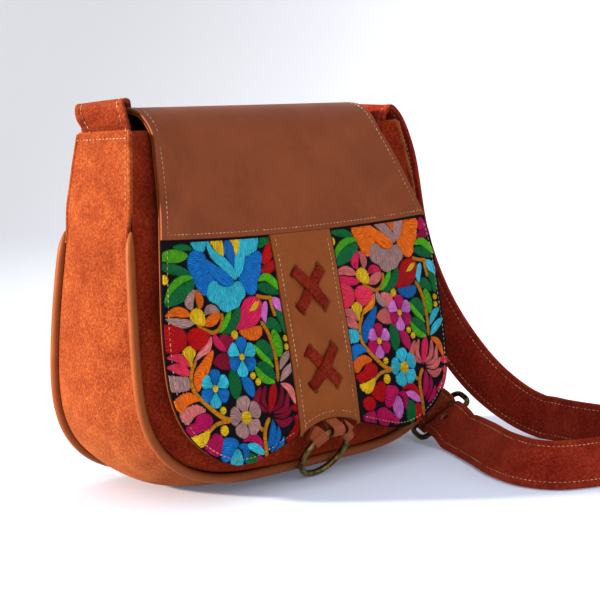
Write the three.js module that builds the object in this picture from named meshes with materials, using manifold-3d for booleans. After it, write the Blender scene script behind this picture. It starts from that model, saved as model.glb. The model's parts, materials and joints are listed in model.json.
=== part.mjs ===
// A suede crossbody bag: a D-shaped body with piped seams, a leather flap with two embroidered
// panels and a laced middle strip, a brass ring on three loops, and a long strap with a buckle.
// Millimetres, +Z up. The front faces -Y and the origin is the middle of the base, on the floor.
import * as THREE from "three";
import Module from "manifold-3d";

const wasm = await Module();
wasm.setup();

// Driving sizes of the body, measured in its own upright frame before it leans back.
const SUEDE = 1.7;
const GAP = 0.3;
const BAG = {
  height: 210,
  halfTop: 117.5,
  halfWide: 134,
  wideAt: 67,
  halfFloor: 42,
  cornerPower: 2.57,
  depth: 82.7,
  frontBelly: 13,
  backBelly: 8,
  gussetBulge: 11,
  leanDegrees: 4.2,
  lift: 3.7,
};
const PIPING = { radius: 3.1, tipRadius: 1.3, endHeight: 161, pinch: 14 };

// Sections of the body from the base to the top edge: up is a share of the height,
// deep of the depth, front and back of the two bellies, bulge of the gusset's bulge.
// Square is how far a belly keeps its height before it falls to the seams.
const BODY = [
  { up: 0, deep: 1, front: 0, back: 0, square: 6, bulge: 1 },
  { up: 0.05, deep: 0.99, front: 0.5, back: 0.5, square: 6, bulge: 0.85 },
  { up: 0.12, deep: 0.97, front: 0.82, back: 0.85, square: 6, bulge: 0.62 },
  { up: 0.22, deep: 0.945, front: 0.98, back: 1, square: 6, bulge: 0.48 },
  { up: 0.34, deep: 0.915, front: 0.94, back: 1, square: 6, bulge: 0.42 },
  { up: 0.46, deep: 0.87, front: 0.72, back: 0.9, square: 6, bulge: 0.38 },
  { up: 0.6, deep: 0.8, front: 0.56, back: 0.75, square: 6, bulge: 0.33 },
  { up: 0.72, deep: 0.73, front: 0.34, back: 0.5, square: 7, bulge: 0.26 },
  { up: 0.84, deep: 0.66, front: 0.02, back: 0.3, square: 12, bulge: 0.18 },
  { up: 0.93, deep: 0.605, front: -0.32, back: 0.15, square: 18, bulge: 0.1 },
  { up: 1, deep: 0.56, front: -0.62, back: 0.05, square: 18, bulge: 0.05 },
];

// The flap: a backing, a plain upper part and three lower parts side by side on it.
const FLAP = {
  backing: 1.2,
  cover: 2,
  cloth: 1.2,
  standOff: 1.5,
  hang: 9,
  flare: 5,
  seamHeight: 143,
  seamRise: 3.5,
  foldHeight: 200,
  crest: 10.5,
  backEnd: 172,
  halfCrest: 98,
  halfSeam: 117,
  halfWidest: 123.5,
  widestAt: 66,
  lobeBottom: 12.3,
};
const STRIP = { half: 26.5, sideBottom: 22, arch: 6.5 };
const LACE = { width: 7.2, thick: 1.4, half: 11.6, slitWide: 2.6, heights: [[119.5, 96.5], [71.5, 49.5]] };

// Hang is how far the flap stands off below the belly, flare how far its sides stand out.
const FALL = [
  { up: 0, hang: 1, flare: 0 },
  { up: 0.1, hang: 0.62, flare: -0.1 },
  { up: 0.2, hang: 0.22, flare: -0.3 },
  { up: 0.3, hang: 0.04, flare: -0.5 },
  { up: 0.46, hang: 0, flare: 0 },
  { up: 0.58, hang: 0, flare: 0.6 },
  { up: 0.7, hang: 0, flare: 1 },
  { up: 0.82, hang: 0, flare: 0.8 },
  { up: 1, hang: 0, flare: 0.4 },
];

const RING = { radius: 18, wire: 2, at: [0, -52.8, 17.6], tiltDegrees: 32 };
const LOOP = { thick: 1.3, width: 9.5, clear: 0.75 };
const STRAP = { width: 31, thick: 3, hole: 4.5 };
const BUCKLE = {
  wire: 1.9,
  length: 18,
  clearWidth: 38,
  prong: 1.2,
  at: [135.6, -34, 16.8],
  along: [-0.36, -0.91, -0.22],
  wide: [0.7, -0.38, 0.6],
};

const degrees = THREE.MathUtils.degToRad;
const vector = (x, y, z) => new THREE.Vector3(x, y, z);

// A smooth value read from one column of a table whose rows are placed by "up".
function column(table, name) {
  const places = table.map((row) => row.up);
  const values = table.map((row) => row[name]);
  const curve = new THREE.CubicInterpolant(places, values, 1);
  return (up) => curve.evaluate(THREE.MathUtils.clamp(up, 0, 1))[0];
}
const deepAt = column(BODY, "deep");
const frontAt = column(BODY, "front");
const backAt = column(BODY, "back");
const squareAt = column(BODY, "square");
const bulgeAt = column(BODY, "bulge");
const hangAt = column(FALL, "hang");
const flareAt = column(FALL, "flare");

// The body leans back about its rear bottom edge.
function lean(point) {
  const turn = degrees(BAG.leanDegrees);
  const y = point.y - BAG.depth / 2;
  return vector(
    point.x,
    y * Math.cos(turn) + point.z * Math.sin(turn) + BAG.depth / 2,
    point.z * Math.cos(turn) - y * Math.sin(turn) + BAG.lift,
  );
}

// Half the width of the D outline at a height, for an outline set in by some distance.
function halfWidth(z, inset = 0) {
  if (z >= BAG.wideAt) {
    const rise = (z - BAG.wideAt) / (BAG.height - BAG.wideAt);
    return BAG.halfWide - (BAG.halfWide - BAG.halfTop) * rise ** 1.6 - inset;
  }
  const corner = BAG.halfWide - BAG.halfFloor;
  const drop = THREE.MathUtils.clamp((BAG.wideAt - z) / (BAG.wideAt - inset), 0, 1);
  return BAG.halfFloor + (corner - inset) * (1 - drop ** BAG.cornerPower) ** (1 / BAG.cornerPower);
}
const halfDepth = (z) => (BAG.depth / 2) * deepAt(z / BAG.height);

// Heights of the rows of a panel: close together where the corner turns into the base.
function panelHeights(inset, cornerRows, sideRows) {
  const heights = [];
  for (let i = 0; i < cornerRows; i += 1) {
    const turn = (Math.PI / 2) * (1 - i / cornerRows);
    heights.push(inset + (BAG.wideAt - inset) * (1 - Math.sin(turn) ** (2 / BAG.cornerPower)));
  }
  for (let i = 0; i <= sideRows; i += 1) {
    heights.push(BAG.wideAt + ((BAG.height - BAG.wideAt) * i) / sideRows);
  }
  return heights;
}

// The seam's D outline from the left top, round the base, to the right top.
function seamOutline() {
  const right = panelHeights(0, 16, 10).map((z) => vector(halfWidth(z), 0, z));
  const left = right.map((p) => vector(-p.x, 0, p.z)).reverse();
  return new THREE.CatmullRomCurve3([...left, vector(0, 0, 0), ...right], false, "centripetal");
}
const OUTLINE = seamOutline();
const STATIONS = Array.from({ length: 45 }, (_, i) => i / 44);

// How far the piping takes up the seam: its radius, tapered to a pinched tip at its end.
function pipingRadius(z) {
  if (z > PIPING.endHeight) return 0;
  const grown = THREE.MathUtils.smoothstep(PIPING.endHeight - z, 0, PIPING.pinch);
  return PIPING.tipRadius + (PIPING.radius - PIPING.tipRadius) * grown;
}
function seamInset(z) {
  const open = THREE.MathUtils.smoothstep(z, PIPING.endHeight, PIPING.endHeight + 2 * PIPING.radius);
  return (pipingRadius(Math.min(z, PIPING.endHeight)) + GAP) * (1 - open);
}

// Closes the space between two grids of points into one solid that faces out.
function slab(outer, inner) {
  const rows = outer.length;
  const cols = outer[0].length;
  const positions = [...outer, ...inner].flat().flatMap((p) => [p.x, p.y, p.z]);
  const at = (side, r, c) => side * rows * cols + r * cols + c;
  const faces = [];
  const quad = (a, b, c, d) => faces.push(a, b, c, a, c, d);
  for (let r = 0; r < rows - 1; r += 1) {
    for (let c = 0; c < cols - 1; c += 1) {
      quad(at(0, r, c), at(0, r, c + 1), at(0, r + 1, c + 1), at(0, r + 1, c));
      quad(at(1, r, c), at(1, r + 1, c), at(1, r + 1, c + 1), at(1, r, c + 1));
    }
    quad(at(0, r, 0), at(0, r + 1, 0), at(1, r + 1, 0), at(1, r, 0));
    quad(at(0, r + 1, cols - 1), at(0, r, cols - 1), at(1, r, cols - 1), at(1, r + 1, cols - 1));
  }
  for (let c = 0; c < cols - 1; c += 1) {
    quad(at(0, 0, c + 1), at(0, 0, c), at(1, 0, c), at(1, 0, c + 1));
    quad(at(0, rows - 1, c), at(0, rows - 1, c + 1), at(1, rows - 1, c + 1), at(1, rows - 1, c));
  }
  const geometry = new THREE.BufferGeometry();
  geometry.setAttribute("position", new THREE.Float32BufferAttribute(positions, 3));
  geometry.setIndex(faces);
  return facingOut(geometry);
}

// Turns every face round where the solid came out inside out.
function facingOut(geometry) {
  const index = geometry.index.array;
  const place = geometry.attributes.position;
  const corner = (i) => vector().fromBufferAttribute(place, index[i]);
  let volume = 0;
  for (let i = 0; i < index.length; i += 3) {
    volume += corner(i).dot(corner(i + 1).cross(corner(i + 2)));
  }
  if (volume < 0) {
    for (let i = 0; i < index.length; i += 3) {
      [index[i], index[i + 1]] = [index[i + 1], index[i]];
    }
  }
  geometry.computeVertexNormals();
  return geometry;
}

const grid = (rows, cols, point) => rows.map((r) => cols.map((c) => point(r, c)));
const spread = (from, to, count) =>
  Array.from({ length: count + 1 }, (_, i) => from + ((to - from) * i) / count);

// Joins a chain of closed sections, all with the same number of points, into one solid.
function sweep(sections, closed = false) {
  const ring = sections[0].length;
  const positions = sections.flat().flatMap((p) => [p.x, p.y, p.z]);
  const faces = [];
  const spans = closed ? sections.length : sections.length - 1;
  for (let s = 0; s < spans; s += 1) {
    const next = (s + 1) % sections.length;
    for (let i = 0; i < ring; i += 1) {
      const j = (i + 1) % ring;
      const [a, b] = [s * ring + i, s * ring + j];
      const [c, d] = [next * ring + j, next * ring + i];
      faces.push(a, b, c, a, c, d);
    }
  }
  if (!closed) {
    const last = (sections.length - 1) * ring;
    for (let i = 1; i < ring - 1; i += 1) {
      faces.push(0, i + 1, i, last, last + i, last + i + 1);
    }
  }
  const geometry = new THREE.BufferGeometry();
  geometry.setAttribute("position", new THREE.Float32BufferAttribute(positions, 3));
  geometry.setIndex(faces);
  return facingOut(geometry);
}

// A round bar along points, each with its own radius and a steady sideways direction.
function roundBar(points, radii, sides, across, closed = false) {
  const sections = points.map((p, i) => {
    const before = points[closed ? (i + points.length - 1) % points.length : Math.max(i - 1, 0)];
    const after = points[closed ? (i + 1) % points.length : Math.min(i + 1, points.length - 1)];
    const along = after.clone().sub(before).normalize();
    const u = across(i).clone().addScaledVector(along, -across(i).dot(along)).normalize();
    const v = along.clone().cross(u);
    return spread(0, sides - 1, sides - 1).map((k) => {
      const turn = (2 * Math.PI * k) / sides;
      return p.clone().addScaledVector(u, radii[i] * Math.cos(turn)).addScaledVector(v, radii[i] * Math.sin(turn));
    });
  });
  return sweep(sections, closed);
}

// A flat strap through rows that each hold a place and the direction of the strap's width.
// A row that would sink through the floor is lifted until its lower edge rests on it.
function ribbonFrames(rows, perSpan) {
  const path = new THREE.CatmullRomCurve3(rows.map((r) => vector(...r.at)), false, "centripetal");
  const widths = new THREE.CatmullRomCurve3(rows.map((r) => vector(...r.wide)), false, "centripetal");
  return spread(0, 1, perSpan * (rows.length - 1)).map((share) => {
    const along = path.getTangent(share).normalize();
    const wide = widths.getPoint(share);
    wide.addScaledVector(along, -wide.dot(along)).normalize();
    const face = along.clone().cross(wide).normalize();
    return { at: path.getPoint(share), along, wide, face };
  });
}
function ribbon(frames, width, thick) {
  const sections = frames.map(({ at, wide, face }) => {
    const low = (Math.abs(wide.z) * width) / 2 + (Math.abs(face.z) * thick) / 2;
    const middle = vector(at.x, at.y, Math.max(at.z, low));
    return [[-1, -1], [1, -1], [1, 1], [-1, 1]].map(([w, f]) =>
      middle.clone().addScaledVector(wide, (w * width) / 2).addScaledVector(face, (f * thick) / 2),
    );
  });
  return sweep(sections);
}

// Cuts solids out of a solid and gives the result back as a three.js geometry.
function solidOf(geometry) {
  const flat = geometry.index ? geometry : geometry.clone().setIndex([...Array(geometry.attributes.position.count).keys()]);
  const mesh = new wasm.Mesh({
    numProp: 3,
    vertProperties: new Float32Array(flat.attributes.position.array),
    triVerts: new Uint32Array(flat.index.array),
  });
  mesh.merge();
  return new wasm.Manifold(mesh);
}
function cut(geometry, cutters) {
  const left = cutters.reduce((solid, tool) => solid.subtract(solidOf(tool)), solidOf(geometry));
  const mesh = left.getMesh();
  const places = [];
  for (let i = 0; i < mesh.numVert; i += 1) {
    places.push(...mesh.vertProperties.subarray(i * mesh.numProp, i * mesh.numProp + 3));
  }
  const result = new THREE.BufferGeometry();
  result.setAttribute("position", new THREE.Float32BufferAttribute(places, 3));
  result.setIndex([...mesh.triVerts]);
  result.computeVertexNormals();
  return result;
}

const bag = new THREE.Group();
function add(name, geometry, look) {
  const mesh = new THREE.Mesh(geometry, new THREE.MeshStandardMaterial(look));
  mesh.name = name;
  bag.add(mesh);
  return mesh;
}
const SUEDE_LOOK = { color: 0xa8431f, roughness: 0.95, metalness: 0 };
const TAN_LOOK = { color: 0xb5703f, roughness: 0.55, metalness: 0 };
const LEATHER_LOOK = { color: 0x84452b, roughness: 0.5, metalness: 0 };
const STRIP_LOOK = { color: 0x8f4f27, roughness: 0.5, metalness: 0 };
const LACE_LOOK = { color: 0x7a2217, roughness: 0.9, metalness: 0 };
const CLOTH_LOOK = { color: 0x3d3f6b, roughness: 0.8, metalness: 0 };
const BRASS_LOOK = { color: 0x6e5f35, roughness: 0.4, metalness: 0.9 };
const DARK_BRASS_LOOK = { color: 0x3d3626, roughness: 0.45, metalness: 0.9 };

// Front and back panels: one surface each between the seams, puffed out by its belly.
function panelY(z, q, front) {
  const belly = front ? BAG.frontBelly * frontAt(z / BAG.height) : BAG.backBelly * backAt(z / BAG.height);
  const out = halfDepth(z) + belly * (1 - Math.abs(q) ** squareAt(z / BAG.height));
  return front ? -out : out;
}
function panel(front) {
  const heights = panelHeights(0, 7, 9);
  const across = [-1, -0.95, -0.86, -0.7, -0.4, 0.4, 0.7, 0.86, 0.95, 1];
  const face = (depth) => (z0, q) => {
    const inset = Math.max(seamInset(z0), SUEDE + GAP);
    const z = inset + ((BAG.height - inset) * z0) / BAG.height;
    const y = panelY(z, q, front) + (front ? depth : -depth);
    return lean(vector(q * halfWidth(z, inset), y, z));
  };
  return slab(grid(heights, across, face(0)), grid(heights, across, face(SUEDE)));
}

// The gusset: one band between the two seams, pressed flat where it rests on the floor.
function gusset() {
  const across = [-1, -0.6, 0, 0.6, 1];
  const face = (depth) => (u, v) => {
    const place = OUTLINE.getPointAt(u);
    const along = OUTLINE.getTangentAt(u);
    const out = BAG.gussetBulge * bulgeAt(place.z / BAG.height) * (1 - v * v) - depth;
    const y = v * (halfDepth(place.z) - seamInset(place.z));
    const point = lean(vector(place.x + along.z * out, y, place.z - along.x * out));
    point.z = Math.max(point.z, depth);
    return point;
  };
  return slab(grid(STATIONS, across, face(0)), grid(STATIONS, across, face(SUEDE)));
}

// Piping in a seam: a round cord under leather, pinched shut at both ends.
function piping(front) {
  const places = STATIONS.map((u) => OUTLINE.getPointAt(u)).filter((p) => p.z < PIPING.endHeight);
  const points = places.map((p) => lean(vector(p.x, (front ? -1 : 1) * halfDepth(p.z), p.z)));
  const radii = places.map((p) => pipingRadius(p.z));
  return roundBar(points, radii, 7, () => vector(0, 1, 0));
}

add("front_panel", panel(true), SUEDE_LOOK);
add("back_panel", panel(false), SUEDE_LOOK);
add("gusset", gusset(), SUEDE_LOOK);
add("piping_front", piping(true), TAN_LOOK);
add("piping_back", piping(false), TAN_LOOK);

// The flap hangs on one profile: up the back, over the mouth and down the front.
// The profile is the inner face of the backing at the middle of the bag.
function flapProfile() {
  const points = [];
  for (const z of spread(0, FLAP.foldHeight, 16)) {
    const hang = FLAP.standOff + FLAP.hang * hangAt(z / BAG.height);
    points.push(vector(0, panelY(z, 0, true) - hang, z));
  }
  const front = points[points.length - 1].y;
  const top = BAG.height + FLAP.crest;
  const rear = panelY(BAG.height, 0, false) + GAP;
  const back = (z) => panelY(z, 0, false) + GAP + 0.2;
  points.push(vector(0, THREE.MathUtils.lerp(front, rear, 0.15), THREE.MathUtils.lerp(FLAP.foldHeight, top, 0.68)));
  points.push(vector(0, THREE.MathUtils.lerp(front, rear, 0.36), top - 0.05 * FLAP.crest));
  points.push(vector(0, THREE.MathUtils.lerp(front, rear, 0.62), top));
  points.push(vector(0, THREE.MathUtils.lerp(front, rear, 0.88), top - 0.35 * FLAP.crest));
  points.push(vector(0, back(BAG.height - 2) + 0.6, BAG.height - 2));
  for (const z of spread(BAG.height - 12, FLAP.backEnd, 3)) points.push(vector(0, back(z) + 0.3, z));
  return new THREE.CatmullRomCurve3(points, false, "centripetal");
}
const PROFILE = flapProfile();
const PROFILE_STEPS = spread(0, 1, 600).map((u) => PROFILE.getPointAt(u));

// Where the flap's front reaches a height, and its back end, as shares along the profile.
function frontShare(z) {
  const i = PROFILE_STEPS.findIndex((p) => p.z >= z);
  const [low, high] = [PROFILE_STEPS[i - 1] ?? PROFILE_STEPS[0], PROFILE_STEPS[i]];
  const part = high.z > low.z ? (z - low.z) / (high.z - low.z) : 0;
  return Math.max(i - 1 + part, 0) / 600;
}

const seamAt = (x) => FLAP.seamHeight + FLAP.seamRise * (x / FLAP.halfSeam) ** 2;
const UPPER_STEPS = spread(0, 1, 18);
const upperShare = (step, x) => THREE.MathUtils.lerp(frontShare(seamAt(x)), 1, step);

// A point of the flap: x across, a share along the profile, and a distance out from it.
function flapPoint(x, share, out) {
  const place = PROFILE.getPointAt(share);
  const along = PROFILE.getTangentAt(share);
  const onFront = share < frontShare(FLAP.foldHeight);
  const up = onFront ? place.z / BAG.height : 1;
  const fade = onFront ? 1 : THREE.MathUtils.clamp(1 - (share - frontShare(FLAP.foldHeight)) * 6, 0, 1);
  const flare = FLAP.flare * flareAt(up) * fade * (x / FLAP.halfWidest) ** 2;
  return lean(vector(x, place.y - along.z * out - flare, place.z + along.y * out));
}

// Half the flap's width: from the crest down to the widest place.
function flapHalf(z) {
  if (z > FLAP.seamHeight) {
    const rise = Math.min((z - FLAP.seamHeight) / (BAG.height - FLAP.seamHeight), 1);
    return THREE.MathUtils.lerp(FLAP.halfSeam, FLAP.halfCrest, rise ** 0.9);
  }
  const drop = (z - FLAP.widestAt) / (FLAP.seamHeight - FLAP.widestAt);
  return FLAP.halfWidest - (FLAP.halfWidest - FLAP.halfSeam) * drop ** 2;
}

// The lower edge of one half of the flap: the strip's arch, then the lobe, then the corner.
// Rows are places on it: across is a share of the widest half, up of the widest height.
const LOBE = [
  { across: 0.215, up: 0.335 },
  { across: 0.3, up: 0.29 },
  { across: 0.375, up: 0.255 },
  { across: 0.45, up: 0.212 },
  { across: 0.53, up: 0.187 },
  { across: 0.61, up: 0.188 },
  { across: 0.7, up: 0.222 },
  { across: 0.79, up: 0.295 },
  { across: 0.87, up: 0.405 },
  { across: 0.935, up: 0.545 },
  { across: 0.98, up: 0.75 },
  { across: 1, up: 1 },
];
const lobeUp = (up) => FLAP.lobeBottom + ((up - 0.187) / (1 - 0.187)) * (FLAP.widestAt - FLAP.lobeBottom);
function lobeCurve() {
  const places = LOBE.map((row) => vector(FLAP.halfWidest * row.across, lobeUp(row.up), 0));
  places[0].set(STRIP.half, STRIP.sideBottom, 0);
  return new THREE.CatmullRomCurve3(places, false, "centripetal");
}
const LOBE_CURVE = lobeCurve();
const CORNER = 0.72;

// A patch of the flap between four edges: the strip's side, the seam, the outer edge and the lobe.
function lowerPatch(inset) {
  const inner = STRIP.half + inset;
  const seam = (x) => seamAt(x) - GAP;
  const edgeTop = seam(FLAP.halfSeam);
  const corner = LOBE_CURVE.getPointAt(CORNER);
  const bottom = (u) => LOBE_CURVE.getPointAt(u * CORNER);
  const outer = (v) => {
    const turn = LOBE_CURVE.getPointAt(Math.min(CORNER + v * 2.2 * (1 - CORNER), 1));
    const share = THREE.MathUtils.clamp((v * 2.2 - 1) / 1.2, 0, 1);
    const z = THREE.MathUtils.lerp(FLAP.widestAt, edgeTop, share);
    return v * 2.2 < 1 ? turn : vector(flapHalf(z), z, 0);
  };
  const side = (v) => vector(inner, THREE.MathUtils.lerp(STRIP.sideBottom, seam(inner), v), 0);
  const top = (u) => {
    const x = THREE.MathUtils.lerp(inner, outer(1).x, u);
    return vector(x, seam(x), 0);
  };
  return (u, v) => {
    const base = bottom(u);
    if (u < 0.3) base.x += inset * (1 - u / 0.3);
    const across = side(v).multiplyScalar(1 - u).add(outer(v).multiplyScalar(u));
    const upward = base.multiplyScalar(1 - v).add(top(u).multiplyScalar(v));
    const corners = vector(inner, STRIP.sideBottom, 0).multiplyScalar((1 - u) * (1 - v));
    corners.addScaledVector(corner, u * (1 - v)).addScaledVector(top(0), (1 - u) * v);
    corners.addScaledVector(top(1), u * v);
    return across.add(upward).sub(corners);
  };
}

// A point above the seam: a step from the seam to the back end and a share of the half width.
function upperPoint(step, q, out) {
  const share = upperShare(step, q * FLAP.halfSeam);
  const place = PROFILE.getPointAt(share);
  const half = share < frontShare(FLAP.foldHeight) ? flapHalf(place.z) : FLAP.halfCrest;
  return flapPoint(q * half, share, out);
}

// The whole flap's outline as one grid: both lobes with the strip between them, then the back.
function flapBacking() {
  const patch = lowerPatch(0);
  const rise = spread(0, 1, 9);
  const side = spread(0, 1, 6);
  const middle = spread(-1, 1, 4).slice(1, -1);
  const face = (out) => {
    const rows = rise.map((v) => {
      const lobe = side.map((u) => patch(u, v));
      const half = lobe[0];
      const strip = middle.map((q) => {
        const arch = STRIP.arch * (1 - q * q) * (1 - v);
        const dip = (seamAt(STRIP.half) - seamAt(q * STRIP.half)) * v;
        return vector(half.x * q, half.y + arch - dip, 0);
      });
      const left = lobe.map((p) => vector(-p.x, p.y, 0)).reverse();
      return [...left, ...strip, ...lobe].map((p) => flapPoint(p.x, frontShare(p.y), out));
    });
    const columns = [...side.map((u) => -patch(u, 1).x).reverse(), ...middle.map((q) => q * STRIP.half), ...side.map((u) => patch(u, 1).x)];
    const widest = columns[columns.length - 1];
    for (const step of UPPER_STEPS) rows.push(columns.map((x) => upperPoint(step, x / widest, out)));
    return rows;
  };
  return slab(face(FLAP.backing), face(0));
}

// The plain leather above the seam: over the crest and down the back.
function flapTop() {
  const across = spread(-1, 1, 8);
  const low = FLAP.backing + GAP;
  const face = (out) => (step, q) => upperPoint(step, q, out);
  return slab(grid(UPPER_STEPS, across, face(low + FLAP.cover)), grid(UPPER_STEPS, across, face(low)));
}

// One embroidered panel, left or right.
function embroidery(side) {
  const patch = lowerPatch(GAP);
  const low = FLAP.backing + GAP;
  const face = (out) => (v, u) => {
    const p = patch(u, v);
    return flapPoint(side * p.x, frontShare(p.y), out);
  };
  const [rise, across] = [spread(0, 1, 10), spread(0, 1, 7)];
  return slab(grid(rise, across, face(low + FLAP.cloth)), grid(rise, across, face(low)));
}

// The middle strip, with a slit under each end of the four laces.
const STRIP_LOW = FLAP.backing + GAP;
const STRIP_TOP = STRIP_LOW + FLAP.cover;
function laceEnds() {
  const ends = [];
  for (const [top, bottom] of LACE.heights) {
    ends.push({ from: [-LACE.half, top], to: [LACE.half, bottom] });
    ends.push({ from: [LACE.half, top], to: [-LACE.half, bottom] });
  }
  return ends;
}
function stripFrame(x, z) {
  const share = frontShare(z);
  const at = flapPoint(x, share, STRIP_TOP);
  const out = flapPoint(x, share, STRIP_TOP + 1).sub(at).normalize();
  return { at, out };
}
function slitCutter(end, other) {
  const { at, out } = stripFrame(...end);
  const far = stripFrame(...other).at;
  const along = far.sub(at);
  along.addScaledVector(out, -along.dot(out)).normalize();
  const box = new THREE.BoxGeometry(LACE.width + 1, LACE.slitWide, 3 * FLAP.cover);
  box.applyMatrix4(new THREE.Matrix4().makeBasis(out.clone().cross(along).negate(), along, out).setPosition(at));
  return box;
}
function flapStrip() {
  const across = spread(-1, 1, 6);
  const rise = spread(0, 1, 12);
  const face = (out) => (v, q) => {
    const bottom = STRIP.sideBottom + STRIP.arch * (1 - q * q);
    const z = THREE.MathUtils.lerp(bottom, seamAt(q * STRIP.half) - GAP, v);
    return flapPoint(q * STRIP.half, frontShare(z), out);
  };
  const solid = slab(grid(rise, across, face(STRIP_TOP)), grid(rise, across, face(STRIP_LOW)));
  const cutters = laceEnds().flatMap(({ from, to }) => [slitCutter(from, to), slitCutter(to, from)]);
  return cut(solid, cutters);
}

// One lace band: it rises from its slit, crosses, and sinks into the other slit.
// The band on top clears the one below at the crossing.
function lace({ from, to }, over) {
  const rest = LACE.thick / 2 + GAP;
  const high = over ? rest + LACE.thick + GAP : rest;
  const heights = [
    { t: 0, h: 0.75 - FLAP.cover },
    { t: 0, h: 0.1 },
    { t: 0.02, h: 0.85 * rest },
    { t: 0.07, h: rest + 0.25 },
    { t: 0.2, h: THREE.MathUtils.lerp(rest, high, over ? 0.55 : 0) + 0.3 },
    { t: 0.36, h: high + 0.25 },
    { t: 0.5, h: high + 0.2 },
  ];
  const rows = [...heights, ...heights.slice(0, -1).reverse().map(({ t, h }) => ({ t: 1 - t, h }))];
  const start = stripFrame(...from).at;
  const run = stripFrame(...to).at.sub(start);
  const frames = rows.map(({ t, h }) => {
    const x = THREE.MathUtils.lerp(from[0], to[0], t);
    const z = THREE.MathUtils.lerp(from[1], to[1], t);
    const { at, out } = stripFrame(x, z);
    const wide = out.clone().cross(run).normalize();
    return { at: at.addScaledVector(out, h).toArray(), wide: wide.toArray() };
  });
  return ribbon(ribbonFrames(frames, 2), LACE.width, LACE.thick);
}

add("flap_backing", flapBacking(), TAN_LOOK);
add("flap_top", flapTop(), LEATHER_LOOK);
add("embroidery_left", embroidery(-1), CLOTH_LOOK);
add("embroidery_right", embroidery(1), CLOTH_LOOK);
add("flap_strip", flapStrip(), STRIP_LOOK);
const [upperFall, upperRise, lowerFall, lowerRise] = laceEnds();
add("lace_upper_over", lace(upperFall, true), LACE_LOOK);
add("lace_upper_under", lace(upperRise, false), LACE_LOOK);
add("lace_lower_over", lace(lowerRise, true), LACE_LOOK);
add("lace_lower_under", lace(lowerFall, false), LACE_LOOK);

// The brass ring, tilted so that its top leans out to the strip's lower edge.
const RING_TURN = new THREE.Matrix4()
  .makeRotationX(Math.PI / 2 + degrees(RING.tiltDegrees))
  .setPosition(...RING.at);
function ring() {
  return new THREE.TorusGeometry(RING.radius, RING.wire, 8, 30).applyMatrix4(RING_TURN);
}

// A leather loop: down in front of the ring from the strip's lower edge, round it and back up.
function ringLoop({ across, turn }) {
  const q = across / STRIP.half;
  const edge = STRIP.sideBottom + STRIP.arch * (1 - q * q) - (Math.abs(q) > 0.3 ? 11 : 3) * GAP;
  const start = flapPoint(across, frontShare(edge), STRIP_TOP - LOOP.thick / 2 - 0.2);
  const end = flapPoint(across, frontShare(edge), LOOP.thick / 2 - 0.3);
  const angle = degrees(90 - turn);
  const middle = vector(RING.radius * Math.cos(angle), RING.radius * Math.sin(angle), 0).applyMatrix4(RING_TURN);
  const out = middle.clone().sub(vector(...RING.at)).normalize();
  const along = vector(Math.sin(angle), -Math.cos(angle), 0).transformDirection(RING_TURN);
  const front = along.clone().cross(out).normalize();
  if (front.y > 0) front.negate();
  const reach = RING.wire + LOOP.clear + LOOP.thick / 2;
  const round = (degree) =>
    middle.clone()
      .addScaledVector(front, reach * Math.cos(degrees(degree)))
      .addScaledVector(out, -reach * Math.sin(degrees(degree)));
  const wide = vector(1, 0, (-2 * STRIP.arch * q) / STRIP.half).normalize();
  const rows = [{ at: start.toArray(), wide: wide.toArray() }];
  for (const degree of [-115, -80, -40, 0, 45, 90, 135, 165]) {
    rows.push({ at: round(degree).toArray(), wide: along.toArray() });
  }
  rows.push({ at: end.toArray(), wide: wide.toArray() });
  return ribbon(ribbonFrames(rows, 2), LOOP.width, LOOP.thick);
}
const LOOPS = {
  ring_loop_left: { across: -16.5, turn: -42 },
  ring_loop_middle: { across: 0, turn: 0 },
  ring_loop_right: { across: 16.5, turn: 42 },
};
add("ring", ring(), BRASS_LOOK);
for (const [name, place] of Object.entries(LOOPS)) add(name, ringLoop(place), STRIP_LOOK);

// The buckle's own frame: along points to the long strap, wide along the bars, face outward.
function buckleFrame() {
  const along = vector(...BUCKLE.along).normalize();
  const wide = vector(...BUCKLE.wide);
  wide.addScaledVector(along, -wide.dot(along)).normalize();
  return { along, wide, face: along.clone().cross(wide) };
}
const BUCKLE_FRAME = buckleFrame();
function onBuckle(t, n, w = 0) {
  const { along, wide, face } = BUCKLE_FRAME;
  return vector(...BUCKLE.at).addScaledVector(along, t).addScaledVector(face, n).addScaledVector(wide, w);
}
const HALF_BAR = BUCKLE.length / 2;
const SEAT = BUCKLE.wire + GAP + STRAP.thick / 2;

// The frame: a round bar bent into a flat oval, wider than the strap.
function buckle() {
  const half = BUCKLE.clearWidth / 2 + BUCKLE.wire;
  const corner = Math.min(half - STRAP.width / 2, HALF_BAR) - 0.1;
  const shape = [];
  for (const [w, t, from] of [[1, 1, 0], [-1, 1, 90], [-1, -1, 180], [1, -1, 270]]) {
    for (const step of spread(0, 90, 3)) {
      const turn = degrees(from + step);
      shape.push([
        w * (half - corner) + corner * Math.cos(turn),
        t * (HALF_BAR - corner) + corner * Math.sin(turn),
      ]);
    }
  }
  const points = shape.map(([w, t]) => onBuckle(t, 0, w));
  return roundBar(points, points.map(() => BUCKLE.wire), 8, () => BUCKLE_FRAME.face, true);
}

// The prong turns round the heel bar and rests on the far side of the front bar.
function prong(radius) {
  const reach = BUCKLE.wire + GAP + BUCKLE.prong;
  const points = [60, 90, 120, 150, 180, 210, 240].map((degree) =>
    onBuckle(-HALF_BAR + reach * Math.cos(degrees(degree)), reach * Math.sin(degrees(degree))),
  );
  points.push(onBuckle(-HALF_BAR + 1, -reach));
  points.push(onBuckle(0, -reach));
  points.push(onBuckle(HALF_BAR, -reach));
  points.push(onBuckle(HALF_BAR + 2 * BUCKLE.prong, 0.4 - reach));
  return roundBar(points, points.map(() => radius), 8, () => BUCKLE_FRAME.wide);
}

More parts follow.
